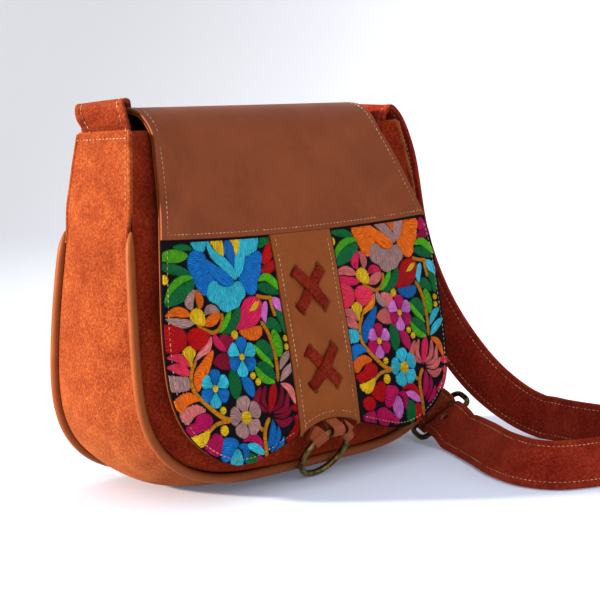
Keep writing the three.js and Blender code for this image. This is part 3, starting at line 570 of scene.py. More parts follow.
def stitch_row(name, points, settings):
    """Short thread stitches along a line of points: one stitch, repeated along a rail and bent to it."""
    bpy.ops.object.select_all(action="DESELECT")
    bpy.ops.curve.primitive_nurbs_path_add()
    rail = bpy.context.object
    rail.data.splines.clear()
    line = rail.data.splines.new("POLY")
    line.points.add(len(points) - 1)
    for corner, place in zip(line.points, points):
        corner.co = (*place, 1)
    bpy.ops.object.select_all(action="DESELECT")
    bpy.ops.mesh.primitive_uv_sphere_add(segments=6, ring_count=5, radius=settings.thread_radius)
    piece = bpy.context.object
    piece.name = name
    half = settings.stitch_length / 2
    edit(
        piece,
        lambda: bpy.ops.transform.resize(value=(half / settings.thread_radius, 1, 1)),
        lambda: bpy.ops.transform.translate(value=(half, 0, 0)),
    )
    row = piece.modifiers.new("row", "ARRAY")
    row.fit_type = "FIT_CURVE"
    row.curve = rail
    row.use_relative_offset = False
    row.use_constant_offset = True
    row.constant_offset_displace = (settings.stitch_pitch, 0, 0)
    bend = piece.modifiers.new("bend", "CURVE")
    bend.object = rail
    apply_modifiers(piece)
    bpy.data.objects.remove(rail)
    smooth(piece, 80)
    return piece


# The buckle's middle in millimetres, and its directions: along the strap, across it, out of its face.
BUCKLE_AT = Vector((135.6, -34, 16.8))
BUCKLE_ALONG = Vector((-0.36, -0.91, -0.22)).normalized()
BUCKLE_WIDE = Vector((0.7, -0.38, 0.6))
BUCKLE_WIDE = (BUCKLE_WIDE - BUCKLE_ALONG * BUCKLE_WIDE.dot(BUCKLE_ALONG)).normalized()
BUCKLE_FACE = BUCKLE_ALONG.cross(BUCKLE_WIDE)
# The buckle: half the distance between its bars, the radii of its bars, its prong and the slots for
# the prong, and how far the strap's middle lies from a bar's middle.
HALF_BAR = 9
BAR_RADIUS = 1.9
PRONG_RADIUS = 1.2
SLOT_RADIUS = 1.9
SEAT = BAR_RADIUS + GAP + STRAP_THICK / 2
# The punched hole: its middle along the strap and its radius.
HOLE_AT = HALF_BAR + 3
HOLE_RADIUS = 2.7

# Rows of both straps, in millimetres: the middle of the strap and the direction of its width.
SHORT_ROUTE = [
    ((-118, 14.5, 172), (-0.1, 0.99, 0)),
    ((-114.2, 17, 196), (-0.18, 0.98, 0)),
    ((-109.2, 20, 215), (-0.24, 0.97, 0)),
    ((-109.8, 22.6, 222), (-0.33, 0.94, -0.04)),
    ((-110, 26.5, 228.7), (-0.42, 0.9, -0.08)),
    ((-106, 31, 231.8), (-0.52, 0.85, -0.12)),
    ((-99.5, 37, 232), (-0.64, 0.77, -0.14)),
    ((-92.5, 43.5, 229.8), (-0.78, 0.62, -0.14)),
    ((-87, 50, 224.6), (-0.9, 0.4, -0.12)),
    ((-84, 55, 216), (-0.95, 0.18, -0.14)),
    ((-82, 57.3, 204), (-0.95, 0, -0.3)),
    ((-70, 58, 180), (-0.78, 0, -0.62)),
    ((-40, 58.5, 146), (-0.66, 0, -0.75)),
    ((20, 59.5, 102), (-0.6, 0, -0.8)),
    ((78, 59, 64), (-0.5, 0, -0.87)),
    ((117, 55, 42), (-0.3, -0.1, -0.95)),
    ((139, 41, 31), (-0.12, -0.1, -0.98)),
    ((147, 18, 26), (-0.3, -0.05, -0.95)),
]
LONG_ROUTE = [
    ((120, 13.5, 172), (0, 1, 0)),
    ((116.5, 15, 196), (0, 1, 0.001)),
    ((113.4, 16, 214), (0.001, 1, 0)),
    ((115.4, 16.5, 222.5), (0, 1, 0)),
    ((121.5, 16.5, 226.3), (0.02, 1, 0)),
    ((127.8, 14.5, 220), (0, 1, -0.02)),
    ((135, 9, 196), (-0.05, 0.98, -0.1)),
    ((142, 0.7, 134), (-0.2, 0.95, -0.2)),
    ((155.4, -12.8, 85.3), (-0.3, 0.85, -0.43)),
    ((172, -38, 43), (-0.3, 0.65, -0.7)),
    ((184, -62, 22), (-0.12, 0.4, -0.9)),
    ((187, -86, 15), (0.05, 0.1, -1)),
    ((186, -112, 15), (0.1, 0, -1)),
    ((190, -140, 15), (0, 0, -1)),
    ((210, -160, 15), (0, 0.001, -1)),
    ((245, -164, 15), (0, 0, -1)),
    ((274, -180, 15), (0.001, 0, -1)),
    ((270, -207, 15), (0, 0, -1)),
    ((235, -214, 15), (0, -0.1, -1)),
    ((190, -204, 15), (0, -0.3, -0.95)),
    ((150, -190, 12), (-0.1, -0.45, -0.88)),
    ((109, -177, 12), (-0.2, -0.53, -0.82)),
    ((85.8, -166, 12), (-0.44, -0.33, -0.84)),
    ((79.4, -149.5, 12), (-0.54, -0.03, -0.84)),
    ((85, -126.3, 12), (-0.485, 0.245, -0.84)),
    ((100.6, -98.7, 12), (-0.49, 0.3, -0.82)),
    ((121.5, -62, 11.5), (-0.61, 0.35, -0.707)),
]


def buckle_place(along, out):
    """A place in the buckle's own frame, in millimetres: along the strap and out of its face."""
    return tuple(BUCKLE_AT + BUCKLE_ALONG * along + BUCKLE_FACE * out)


def buckle_rows(steps):
    """Strap rows at steps along and out in the buckle's own frame, with the strap's width across it."""
    return [
        (buckle_place(along, out), tuple(-BUCKLE_WIDE + Vector((0, 0, 1e-4 * index))))
        for index, (along, out) in enumerate(steps)
    ]


# The embroidery's dyes. Both panels carry the same repeat of flowers and leaves in their own colours.
DYES = {
    "blue": "1874B2", "deep_blue": "0F68A4", "turquoise": "52B8C8", "sky": "66BCD0",
    "lime": "5BA82C", "pine": "0F6C3C", "yellow": "DAB630", "orange": "DC741C", "amber": "E08A30",
    "red": "B40C20", "crimson": "A00A22", "maroon": "8C183C", "wine": "7C1632", "magenta": "B4125F",
    "plum": "96104C", "rose": "CC3C60", "coral": "DE4C62", "pink": "DC8480", "salmon": "CE7672",
    "taupe": "AC8A84", "lilac": "CE80C0", "tan": "C28438",
}

# Filled shapes: dye of the left and of the right panel, the point the threads fan out from,
# and the outline. All places are across and up on the left panel, in millimetres.
PATCHES = [
    ("blue", "orange", (-70, 142), (
        (-97.5, 143.5), (-94.5, 147.8), (-89, 149), (-84, 146.8), (-82.8, 141), (-81.5, 136), (-79, 131.5),
        (-84.5, 128), (-87, 123), (-91, 125), (-94, 130), (-97, 136), (-98, 140))),
    ("turquoise", "taupe", (-84, 138), ((-92.5, 156), (-90.5, 149.5), (-84, 148), (-81.8, 150), (-81, 156))),
    ("yellow", "taupe", (-70, 170), ((-77, 156), (-73.5, 147.5), (-68.5, 144), (-67.3, 148), (-68, 156))),
    ("yellow", "amber", (-57, 170), ((-60.5, 156), (-58.8, 149), (-57.8, 143.8), (-55, 146.5), (-52.8, 156))),
    ("blue", "orange", (-62.5, 170), (
        (-67, 149), (-64.5, 152.5), (-61, 152), (-58.8, 148), (-59.8, 142.5), (-61.3, 137.5), (-64, 141),
        (-66.8, 145))),
    ("turquoise", "orange", (-46, 136), (
        (-50, 156), (-50, 142.5), (-45, 143.8), (-40.5, 145), (-38, 148.5), (-36.8, 156))),
    ("blue", "orange", (-62, 142), (
        (-50.3, 141.2), (-44, 142.8), (-38.5, 144.3), (-36.5, 142), (-38.5, 137), (-40.5, 131), (-44, 127),
        (-46, 121.5), (-49.5, 119.5), (-53.5, 121), (-57, 126.5), (-58.8, 129.8), (-54.5, 133.5),
        (-51.8, 138))),
    ("turquoise", "taupe", (-69, 148), (
        (-85.5, 127), (-80.5, 130.8), (-77, 128.3), (-72, 126), (-66, 126), (-60.5, 128.3), (-57.8, 127.6),
        (-55.6, 124), (-55.6, 119.8), (-59.5, 117.2), (-62, 114.2), (-67, 113), (-72, 112), (-76, 113.5),
        (-79, 117), (-84, 119.5), (-86.2, 123))),
    ("yellow", "yellow", (-95, 130), (
        (-101.5, 112.5), (-98.5, 115.8), (-93, 115.5), (-90.3, 111), (-91, 106.5), (-96, 107),
        (-100, 109.5))),
    ("rose", "crimson", (-69, 98), (
        (-67, 101.3), (-62.5, 106), (-60.8, 111.5), (-57.5, 116.2), (-53, 118.3), (-47, 117.8),
        (-43.5, 115.2), (-44.5, 109), (-48, 104), (-54, 101.2), (-60.5, 100.8))),
    ("orange", "deep_blue", (-55, 130), (
        (-64.5, 99.8), (-58, 100.3), (-51, 101), (-46.5, 100.3), (-46.8, 96.5), (-51.5, 93.8), (-57, 94),
        (-62, 96.5))),
    ("maroon", "salmon", (-77, 84), (
        (-81, 98.5), (-75, 98.6), (-70.5, 96), (-73, 92.5), (-76.5, 89.2), (-80, 92.5))),
    ("maroon", "salmon", (-72, 90), (
        (-88.5, 84.5), (-84.5, 88), (-79, 89), (-76.5, 86.5), (-75, 80), (-80, 79.5), (-84.5, 81))),
    ("red", "coral", (-105, 99), (
        (-122.5, 109), (-115, 108.3), (-109, 106), (-106, 102.5), (-106.3, 98), (-110, 94.5), (-116, 93.3),
        (-122.5, 95))),
    ("red", "coral", (-106, 97), (
        (-104.8, 102.5), (-99.5, 105.3), (-94, 104), (-88, 100), (-92, 96), (-97, 93.5), (-101.5, 93),
        (-104.8, 97))),
    ("yellow", "yellow", (-106, 80), (
        (-110.5, 93), (-106, 95.6), (-101.8, 94.5), (-101, 91.5), (-104, 88), (-105.8, 84), (-107.3, 88))),
    ("taupe", "turquoise", (-116, 120), (
        (-124, 80.5), (-115, 79.5), (-109, 78.3), (-108.8, 72.3), (-115, 71.5), (-124, 73.5))),
    ("orange", "blue", (-108, 50), (
        (-122, 65.5), (-117, 68.8), (-110.5, 70), (-105.5, 67.8), (-103, 65.3), (-108.5, 64.3), (-113, 63),
        (-118, 60))),
    ("pink", "orange", (-104, 42), (
        (-119, 58.5), (-112, 62), (-105, 62.3), (-99.5, 58.5), (-105.5, 57.6), (-110, 56), (-115, 52.8))),
    ("magenta", "red", (-86, 52), (
        (-116, 50.5), (-109, 53), (-106.5, 56.3), (-101, 57), (-96.5, 55), (-95.5, 51.8), (-99.5, 48.5),
        (-107, 47.2), (-113, 46.5))),
    ("yellow", "yellow", (-92, 51), (
        (-114, 44.5), (-106, 45.8), (-99, 47.3), (-99.8, 44), (-103.5, 40), (-107.5, 38.8))),
    ("magenta", "red", (-84, 46), (
        (-104, 38.5), (-99, 42.3), (-95, 44.6), (-91, 43), (-89.3, 40), (-91.5, 36), (-94, 32), (-99, 33.5))),
    ("magenta", "red", (-96, 40), (
        (-113, 34), (-108, 36.5), (-103.5, 35.5), (-101.5, 31), (-105, 28), (-110, 29))),
    ("rose", "magenta", (-106, 40), ((-114, 25), (-108, 27), (-103, 26.5), (-103, 19), (-108, 19))),
    ("rose", "magenta", (-94, 40), ((-101, 26), (-96, 28), (-91, 26.5), (-90, 17), (-97, 17))),
    ("blue", "magenta", (-76, 33), (
        (-90.5, 40.5), (-84, 40.5), (-79.5, 38.8), (-77.8, 35.8), (-81.5, 33.8), (-84.5, 29.3), (-88.5, 27.3),
        (-91.8, 29.5), (-91.3, 35))),
    ("turquoise", "lilac", (-81, 38), (
        (-80.5, 33.5), (-77, 31.5), (-75.3, 24.5), (-78, 19), (-82, 20), (-85, 27.5), (-82.5, 31))),
    ("pine", "pine", (-67, 36), (
        (-71, 29), (-67.5, 28.5), (-64, 26), (-63, 20), (-67, 14), (-71.5, 18), (-72, 23))),
    ("magenta", "red", (-60, 36), ((-62.5, 26), (-58.5, 24.5), (-57.5, 19), (-61, 14), (-63, 20))),
]

# Leaves, petals and stems: dyes, width, whether the threads run along, and the line they follow.
BLADES = [
    ("blue", "orange", 8.5, True, ((-83.3, 143.5), (-77, 135.8), (-70, 130.8), (-62.5, 128))),
    ("turquoise", "taupe", 6.8, True, ((-80, 157), (-77, 146.5), (-70, 140.6), (-64.5, 135), (-60.8, 129.3))),
    ("turquoise", "taupe", 7.8, True, ((-51.5, 157), (-53, 147), (-56.3, 138.5), (-60, 130.3))),
    ("lime", "lime", 7.2, False, ((-121, 147.5), (-108, 147.2), (-96.3, 146.5))),
    ("pine", "pine", 5.6, False, ((-122, 143), (-110, 140), (-96.5, 136.3))),
    ("pine", "pine", 3.4, False, ((-108, 152.2), (-99, 151.4), (-92.5, 150))),
    ("lime", "lime", 4.2, False, ((-119.8, 121.5), (-113, 129.8), (-104, 133.8), (-94, 134.2))),
    ("pine", "pine", 8.6, False, ((-120, 120.3), (-110, 124.2), (-102, 127.6), (-94, 132.3))),
    ("red", "magenta", 7, False, ((-37, 136.5), (-31, 142), (-25, 150))),
    ("red", "plum", 6, False, ((-39.5, 132), (-32, 134), (-24, 137))),
    ("pine", "pine", 5.4, False, ((-37.8, 146.3), (-32, 150.3), (-24, 152.5))),
    ("lime", "lime", 5, False, ((-43.3, 127.3), (-36, 128.8), (-29.5, 124.5), (-25.5, 119.8))),
    ("pine", "pine", 6, False, ((-44.8, 124), (-37, 122.3), (-26.5, 118.2))),
    ("taupe", "rose", 6.6, False, ((-99.3, 115.8), (-100.6, 121), (-95.5, 127.3))),
    ("orange", "salmon", 5.4, False, ((-93.3, 115.5), (-92.4, 121), (-94.8, 127.2))),
    ("orange", "salmon", 5.4, True, ((-120.5, 114.3), (-111, 116), (-100.5, 113))),
    ("taupe", "rose", 5, True, ((-120.5, 113), (-110, 109.4), (-98.5, 108.2))),
    ("taupe", "rose", 5, True, ((-90.3, 111.8), (-85.5, 114.8), (-77.5, 112.6))),
    ("orange", "salmon", 6.4, True, ((-91.8, 106), (-85, 108.3), (-77.3, 112))),
    ("lime", "lime", 4, False, ((-80.5, 100.5), (-74, 106), (-68.5, 113.5))),
    ("pine", "pine", 7, False, ((-79, 99.3), (-70.5, 103.5), (-65, 108.5), (-61.5, 114.2))),
    ("lilac", "sky", 5, True, ((-42.5, 101.8), (-42.5, 108), (-39, 115))),
    ("lilac", "sky", 6.4, True, ((-34, 116.5), (-30, 112.5), (-25.5, 106))),
    ("pine", "pine", 7, False, ((-43.5, 100), (-37.5, 101.3), (-30.5, 95.8))),
    ("pine", "pine", 6, False, ((-32.5, 109.5), (-28.3, 103), (-27.5, 94))),
    ("lime", "lime", 8, False, ((-35, 81), (-36, 89), (-37.5, 98.3))),
    ("rose", "taupe", 5, True, ((-84.7, 101), (-83.5, 96), (-75.8, 89.3))),
    ("pink", "amber", 4, True, ((-103, 86.5), (-97, 90.5), (-91, 93.3), (-86.8, 99.5))),
    ("coral", "salmon", 5, True, ((-123, 91.3), (-113, 89.8), (-106.5, 84.5))),
    ("coral", "salmon", 6, True, ((-123.5, 86), (-114, 84), (-107, 80))),
    ("orange", "deep_blue", 8, False, ((-103, 69.5), (-101, 77), (-96, 82), (-87, 91.8))),
    ("pine", "pine", 9.4, False, ((-75.5, 79.3), (-74.5, 70), (-75, 61.3))),
    ("blue", "magenta", 7.4, True, ((-68.8, 74.3), (-64.5, 69), (-61, 61))),
    ("lime", "lime", 4.2, False, ((-55.5, 91), (-49.5, 84), (-41.5, 75.8))),
    ("pine", "pine", 8.6, False, ((-54, 90.5), (-47, 88), (-41.3, 80))),
    ("lime", "lime", 4.8, False, ((-57, 78.5), (-51.5, 71.3), (-42, 66.8))),
    ("pine", "pine", 7.2, False, ((-55.5, 79.5), (-48, 75.7), (-41.8, 68.3))),
    ("taupe", "turquoise", 4.6, True, ((-37, 73.5), (-33, 79), (-25, 84))),
    ("taupe", "turquoise", 4.8, True, ((-38, 67), (-32.5, 71.5), (-22.5, 77))),
    ("maroon", "salmon", 4.4, True, ((-51.5, 50.5), (-59.7, 57), (-54.5, 66.3))),
    ("wine", "salmon", 3.6, True, ((-50.8, 50.8), (-54.2, 58.3), (-50.3, 66.5))),
    ("crimson", "rose", 6.2, True, ((-50.3, 49.5), (-46.3, 58.8), (-43, 67))),
    ("wine", "salmon", 3.8, True, ((-48.8, 50.5), (-40.3, 55), (-37.3, 64.8))),
    ("maroon", "salmon", 3.6, True, ((-47.5, 49.6), (-36.8, 51.2), (-33, 60.5))),
    ("wine", "salmon", 3.0, True, ((-47.5, 47.8), (-38, 46.8), (-30.5, 52))),
    ("maroon", "salmon", 4.0, True, ((-47, 46), (-40, 42.2), (-31.5, 44.6))),
    ("pink", "orange", 4.4, True, ((-38.3, 66), (-31.5, 62), (-27.5, 52))),
    ("crimson", "coral", 5.4, True, ((-31, 46), (-28, 40.5), (-31.5, 35.5), (-39.8, 31.3))),
    ("crimson", "coral", 4.4, True, ((-32, 50), (-28, 50), (-22, 48.5))),
    ("magenta", "rose", 4.2, True, ((-28.5, 46), (-25.5, 40), (-28, 32))),
    ("blue", "magenta", 4.8, True, ((-48.5, 46.3), (-49.3, 39), (-54.2, 28.8))),
    ("blue", "plum", 3.8, True, ((-44.5, 41.8), (-45.2, 35.8), (-52.3, 26.5))),
    ("blue", "magenta", 3.4, True, ((-40.3, 35), (-43.3, 30), (-50.3, 24.5))),
    ("blue", "magenta", 4.6, True, ((-78.3, 34.8), (-72.8, 33), (-72.3, 23.5))),
    ("blue", "magenta", 5, True, ((-90, 26), (-86, 20), (-79, 16))),
    ("turquoise", "lilac", 5, True, ((-72.8, 34.3), (-65, 32), (-57.2, 26.6))),
    ("magenta", "red", 4.4, True, ((-74.8, 37.3), (-65, 37.5), (-57.8, 30.8))),
]

# Stems: width and the line they follow.
STEMS = [
    (2.0, ((-76, 112), (-77.2, 106.5), (-80.5, 102.5), (-85.5, 101.3), (-91, 103.3), (-97, 106.5))),
    (1.8, ((-47, 118.8), (-41, 117.3), (-33, 116.2))),
    (1.8, ((-35.5, 116), (-34.8, 111), (-33.3, 105))),
    (2.2, ((-46.5, 104), (-42.8, 98.5), (-40.2, 91), (-39, 83), (-39, 75), (-40, 66.8))),
    (2.2, ((-101, 87), (-105, 82.5), (-107, 76), (-105.3, 69.5), (-100, 63.5), (-93, 57), (-86, 52),
           (-79, 50.3), (-73, 50.3))),
    (1.8, ((-100, 45.8), (-94, 49.2), (-87.5, 50.2), (-82, 49.8))),
    (2.4, ((-50.5, 47.5), (-54, 43.5), (-56, 38.5), (-56, 31), (-54.8, 16))),
    (2.0, ((-60.5, 43.5), (-57, 40.8))),
]
# Small round dots: place and radius.
DOTS = [
    (-117.8, 134.7, 3.1), (-69, 98.3, 3), (-59.5, 73.3, 2.4), (-56, 69.2, 2.4), (-86.5, 56.6, 2.6),
    (-87.6, 45.3, 3.4), (-28.4, 91.6, 2.2), (-28.6, 86.6, 2.2),
]

# The pistil that lies on the open flower.
PISTIL = ((-55.5, 110), (-50, 112.5), (-45, 115.5))

# Round flowers: middle, radius, petals, their dyes by turns on both panels, and the eye's radius.
FLOWERS = [
    (-66, 85, 11.4, 6, ("turquoise", "blue"), ("lilac", "magenta"), 2.4),
    (-90, 69.7, 10.9, 6, ("turquoise", "blue"), ("lilac", "magenta"), 2.4),
    (-69.5, 50.3, 12.2, 5, ("taupe", "taupe"), ("turquoise", "turquoise"), 4.4),
]
# How far the right panel's repeat lies across and up from the left one's.
REPEAT = (144.5, 10.5)
# How far each shape is sewn out past its drawn outline, so that only a thin line of cloth shows.
GROW = 0.5
# How far a shape's dark rim reaches in, where its threads dive into the cloth. The rim is painted dark,
# partly as the black cloth between shapes and partly as painted shade.
EDGE = 0.42

# The right panel: its inner edge beside the strip, the height of its top, how far its stitches lie from
# its edge, and that edge from the strip round the lobe and up the side.
PANEL_INNER = 26.8
PANEL_TOP = 152
PANEL_INSET = 3.8
LOBE_EDGE = [
    (26.8, 33.1), (39.5, 29.5), (52.2, 25.7), (65.2, 22.8), (78.5, 23.3), (91.3, 27.3), (102.9, 34.0),
    (112.6, 43.2), (117, 49.8), (120, 57.1), (121.9, 64.6), (123, 72.5), (123.5, 83.4), (123, 98.1),
    (122.1, 112.6), (120.7, 127.2), (118.8, 141.9), (115.8, 156.4),
]
# The seam under the plain brown leather, from the middle out.
SEAM_EDGE = [(x, 152.7 + 3.6 * (x / 116) ** 2) for x in range(0, 117, 4)]

# The seams beside the gusset above the piping, in the bag's own upright frame: half the bag's width
# there, the seam's depth before or behind the middle, and its height.
SEAM = [
    (127.6, 27.6, 146), (126.7, 27.3, 153), (124.6, 28.3, 167), (122.4, 26.7, 181), (120, 25, 196),
    (117.6, 23.2, HEM_TOP),
]


def leaned(x, y, z):
    """A place in the bag's own upright frame, leant back about its rear bottom edge, in millimetres."""
    deep = y - REAR_EDGE
    return (
        x,
        deep * math.cos(LEAN) + z * math.sin(LEAN) + REAR_EDGE,
        z * math.cos(LEAN) - deep * math.sin(LEAN) + LIFT,
    )


def flap_half(z):
    """Half the flap's width above the seam, at a height above the floor."""
    return FLAP_HALF - (FLAP_HALF - CREST_HALF) * min(max((z - FLAP_SEAM) / NARROWING, 0), 1) ** 0.9


def inset_line(line, inset):
    """An open line of places moved to its left by a distance."""
    line = smooth_path(line, 6)
    way = np.gradient(line, axis=0)
    way /= np.linalg.norm(way, axis=1)[:, None]
    return line + np.stack([-way[:, 1], way[:, 0]], 1) * inset


def panel_outline(inset):
    """The closed outline of the right embroidered panel, set in by a distance."""
    lobe = inset_line(LOBE_EDGE, inset)
    inner = PANEL_INNER + inset
    top = [(x, z - 0.4 - inset) for x, z in reversed(SEAM_EDGE) if inner < x < lobe[-1][0]]
    side = [(inner, z) for z in np.arange(150, 36, -4)]
    inside = lobe[(lobe[:, 0] > inner) & (lobe[:, 1] < PANEL_TOP - inset)]
    return np.vstack([inside, top, side])


def closed_path(points, per_span):
    """A closed spline through points."""
    rows = [points[-1], *points, points[0], points[1]]
    return smooth_path(rows, per_span)[per_span : per_span * (len(points) + 1)]


def ragged(outline, by):
    """An outline whose corners stand in and out by turns, as the ends of the threads do."""
    way = np.roll(outline, -1, axis=0) - np.roll(outline, 1, axis=0)
    way /= np.linalg.norm(way, axis=1)[:, None]
    out = np.stack([way[:, 1], -way[:, 0]], 1)
    if np.sum(np.cross(outline, np.roll(outline, -1, axis=0))) < 0:
        out = -out
    k = np.arange(len(outline))
    step = GROW + by * (np.where(k % 2, 0.7, -0.5) + 0.5 * np.sin(k * 2.3))
    return outline + out * step[:, None]


def patch(points, fan, lift, per_span=6, ragged_by=0.4):
    """A padded satin-stitch patch as rows of places, heights and thread coordinates."""
    outline = ragged(closed_path(points, per_span), ragged_by)
    middle = outline.mean(axis=0)
    size = np.linalg.norm(outline - middle, axis=1).mean()
    rings = np.array((1, 1 - min(EDGE / size, 0.2), 1 - min(2.2 * EDGE / size, 0.4), 0.55, 0.3, 0))
    loop = np.vstack([outline, outline[:1]])
    places = middle + (loop[None] - middle) * rings[:, None, None]
    rise = np.array((-0.25, 0.55, 0.85, 0.97, 1, 1)) * lift
    heights = np.repeat(rise[:, None], len(loop), 1)
    fan = np.array(fan, float)
    away = places - fan
    reach = np.linalg.norm(middle - fan)
    main = math.atan2(*(middle - fan)[::-1])
    turn = (np.arctan2(away[..., 1], away[..., 0]) - main + math.pi) % (2 * math.pi) - math.pi
    return places, heights, np.stack([turn * reach, np.linalg.norm(away, axis=2)], 2)


def blade(points, width, along, lift, blunt=False):
    """A leaf, petal or stem stitched along a line, as rows of places, heights and thread coordinates."""
    path = smooth_path(points, 12)
    way = np.gradient(path, axis=0)
    way /= np.linalg.norm(way, axis=1)[:, None]
    side = np.stack([-way[:, 1], way[:, 0]], 1)
    t = np.linspace(0, 1, len(path))
    run = np.concatenate([[0], np.cumsum(np.linalg.norm(np.diff(path, axis=0), axis=1))])
    ends = np.minimum(1, np.minimum(t, 1 - t) * 14) ** 0.5
    form = ends if blunt else np.sin(np.pi * (t ** 1.25 if along else t)) ** 0.55
    half = np.maximum(form * (width / 2 + GROW), 0.05)
    rough = np.where(np.arange(len(path)) % 2, 0.16, -0.12) * (0.5 if blunt else 1.3) * form
    rim = np.minimum(EDGE / np.maximum(half, 0.1), 0.3)[:, None]
    columns = np.array((-1, -1, -1, -0.3, 0.3, 1, 1, 1)) + rim * (0, 1, 2.2, 0, 0, -2.2, -1, 0)
    across = half[:, None] * columns + rough[:, None] * np.sign(columns)
    places = path[:, None] + side[:, None] * across[:, :, None]
    rise = np.array((-0.25, 0.55, 0.85, 1, 1, 0.85, 0.55, -0.25)) * lift
    heights = np.minimum(1, half / (width / 2))[:, None] ** 0.5 * rise
    runs = np.repeat(run[:, None], 8, 1)
    threads = (across, runs) if along else (runs + 0.75 * np.abs(across), across)
    return places, heights, np.stack(threads, 2)


def petals(x, z, radius, count, dyes, eye):
    """A round flower seen from above: its petals and its eye, each with a dye."""
    made = []
    step = 2 * math.pi / count
    form = ((0.18, 0), (0.5, 0.4), (0.8, 0.46), (0.98, 0.26), (1, 0))
    form += tuple((r, -a) for r, a in reversed(form[1:-1]))
    for k in range(count):
        outline = [
            (x + radius * r * math.cos(step * (k + a) + 0.4), z + radius * r * math.sin(step * (k + a) + 0.4))
            for r, a in form
        ]
        made.append((dyes[k % 2], patch(outline, (x, z), 0.9, 5, 0.2)))
    return made + [("yellow", dot(x, z, eye))]


def dot(x, z, radius):
    """A small round of satin stitch."""
    turns = np.arange(8) * math.pi / 4
    radius -= GROW
    outline = [(x + radius * math.cos(a), z + radius * math.sin(a)) for a in turns]
    return patch(outline, (x - 90, z), 1.1, 3, 0.14)


def repeat_shapes(colourway):
    """All shapes of the pattern with their dyes, for the left panel (0) or the right panel (1)."""
    made = []
    for width, line in STEMS:
        made.append(("tan", blade(line, width, False, 0.55, True)))
    for *dyes, width, along, line in BLADES:
        made.append((dyes[colourway], blade(line, width, along, 0.75)))
    for *dyes, fan, outline in PATCHES:
        made.append((dyes[colourway], patch(outline, fan, 0.85)))
    for x, z, radius, count, first, second, eye in FLOWERS:
        made += petals(x, z, radius, count, (first, second)[colourway], eye)
    made.append(("yellow", blade(PISTIL, 3.6, True, 1.3)))
    for x, z, radius in DOTS:
        made.append(("yellow", dot(x, z, radius)))
    return made


def inside_of(outline, places):
    """Which places lie inside a closed outline."""
    x, z = places[:, 0], places[:, 1]
    inside = np.zeros(len(places), bool)
    for (x0, z0), (x1, z1) in zip(outline, np.roll(outline, -1, axis=0)):
        crosses = (z0 > z) != (z1 > z)
        at = x0 + (z - z0) * (x1 - x0) / ((z1 - z0) or 1e-9)
        inside ^= crosses & (x < at)
    return inside


def nearest_on(outline, places):
    """The nearest place on a closed outline for each place."""
    start = outline[None]
    run = np.roll(outline, -1, axis=0)[None] - start
    share = np.sum((places[:, None] - start) * run, axis=2) / np.maximum(np.sum(run * run, axis=2), 1e-9)
    found = start + run * np.clip(share, 0, 1)[:, :, None]
    best = np.argmin(np.linalg.norm(found - places[:, None], axis=2), axis=1)
    return found[np.arange(len(places)), best]


def sew(name, tree, outline, shape, colour, rise, closed):
    """One shape of satin stitch laid on the cloth inside an outline, or nothing where it lies outside."""
    places, heights, threads = shape
    rows, columns = heights.shape
    flat = places.reshape(-1, 2)
    keep = inside_of(outline, flat)
    if not keep.any():
        return None
    flat[~keep] = nearest_on(outline, flat[~keep])
    heights = np.where(keep, heights.ravel(), np.minimum(heights.ravel(), 0.5)) * rise / MM
    spots = [front_place(tree, x, z, height)[0] for (x, z), height in zip(flat, heights)]
    piece = net(name, [spots[row * columns : (row + 1) * columns] for row in range(rows)])
    mesh = piece.data
    dye = np.tile(np.array(colour), (rows, columns, 1))
    # The rim is dark: partly the black cloth between the shapes, partly painted shade where the threads dive
    # into the cloth.
    dye[0, :, :3] *= 0.06
    if not closed:
        dye[-1, :, :3] *= 0.06
        dye[:, (0, -1), :3] *= 0.06
    mesh.color_attributes.new("dye", "FLOAT_COLOR", "POINT").data.foreach_set("color", dye.ravel())
    order = np.zeros(len(mesh.loops), int)
    mesh.loops.foreach_get("vertex_index", order)
    mesh.uv_layers.new(name="threads").data.foreach_set("uv", threads.reshape(-1, 2)[order].ravel())
    steps = [lambda: bpy.ops.mesh.remove_doubles(threshold=1e-6)]
    normals = np.zeros(len(mesh.polygons) * 3)
    mesh.polygons.foreach_get("normal", normals)
    if normals.reshape(-1, 3)[:, 1].mean() > 0:
        steps.append(lambda: bpy.ops.mesh.flip_normals())
    edit(piece, *steps)
    return piece


def embroider(name, tree, colourway, rise):
    """Lays all shapes of the pattern on one panel as a single piece."""
    side = (-1, 1)[colourway]
    outline = panel_outline(0.7) * (side, 1)
    shift = (0, 0) if side < 0 else REPEAT
    made = []
    for index, (dye, (places, heights, threads)) in enumerate(repeat_shapes(colourway)):
        # Each shape's dye differs a little from the next one's, and its threads start elsewhere.
        tint = 1.0 + 0.28 * ((index * 37) % 11) / 10
        base = np.array(linear(DYES[dye])[:3])
        deep = np.maximum(base.mean() + (base - base.mean()) * 1.14, 0.25 * base)
        colour = [*(deep * tint), 1.0]
        shape = (places + shift, heights + 0.03 * (index % 5), threads + (index * 17.3, index * 5.1))
        closed = np.allclose(places[:, 0], places[:, -1])
        made.append(sew(f"{name}_{index}", tree, outline, shape, colour, rise, closed))
    piece = joined(name, [shape for shape in made if shape])
    smooth(piece, 75)
    return piece


def spaced(line, step):
    """Places along an open line at an even distance."""
    line = np.asarray(line, float)
    run = np.concatenate([[0], np.cumsum(np.linalg.norm(np.diff(line, axis=0), axis=1))])
    at = np.linspace(0, run[-1], max(int(run[-1] / step), 2))
    return np.stack([np.interp(at, run, line[:, k]) for k in range(line.shape[1])], 1)


def front_line(tree, line, out=0.1, step=1.5):
    """A line of across and up places laid on the front of a piece."""
    return [front_place(tree, x, z, out)[0] for x, z in spaced(line, step)]


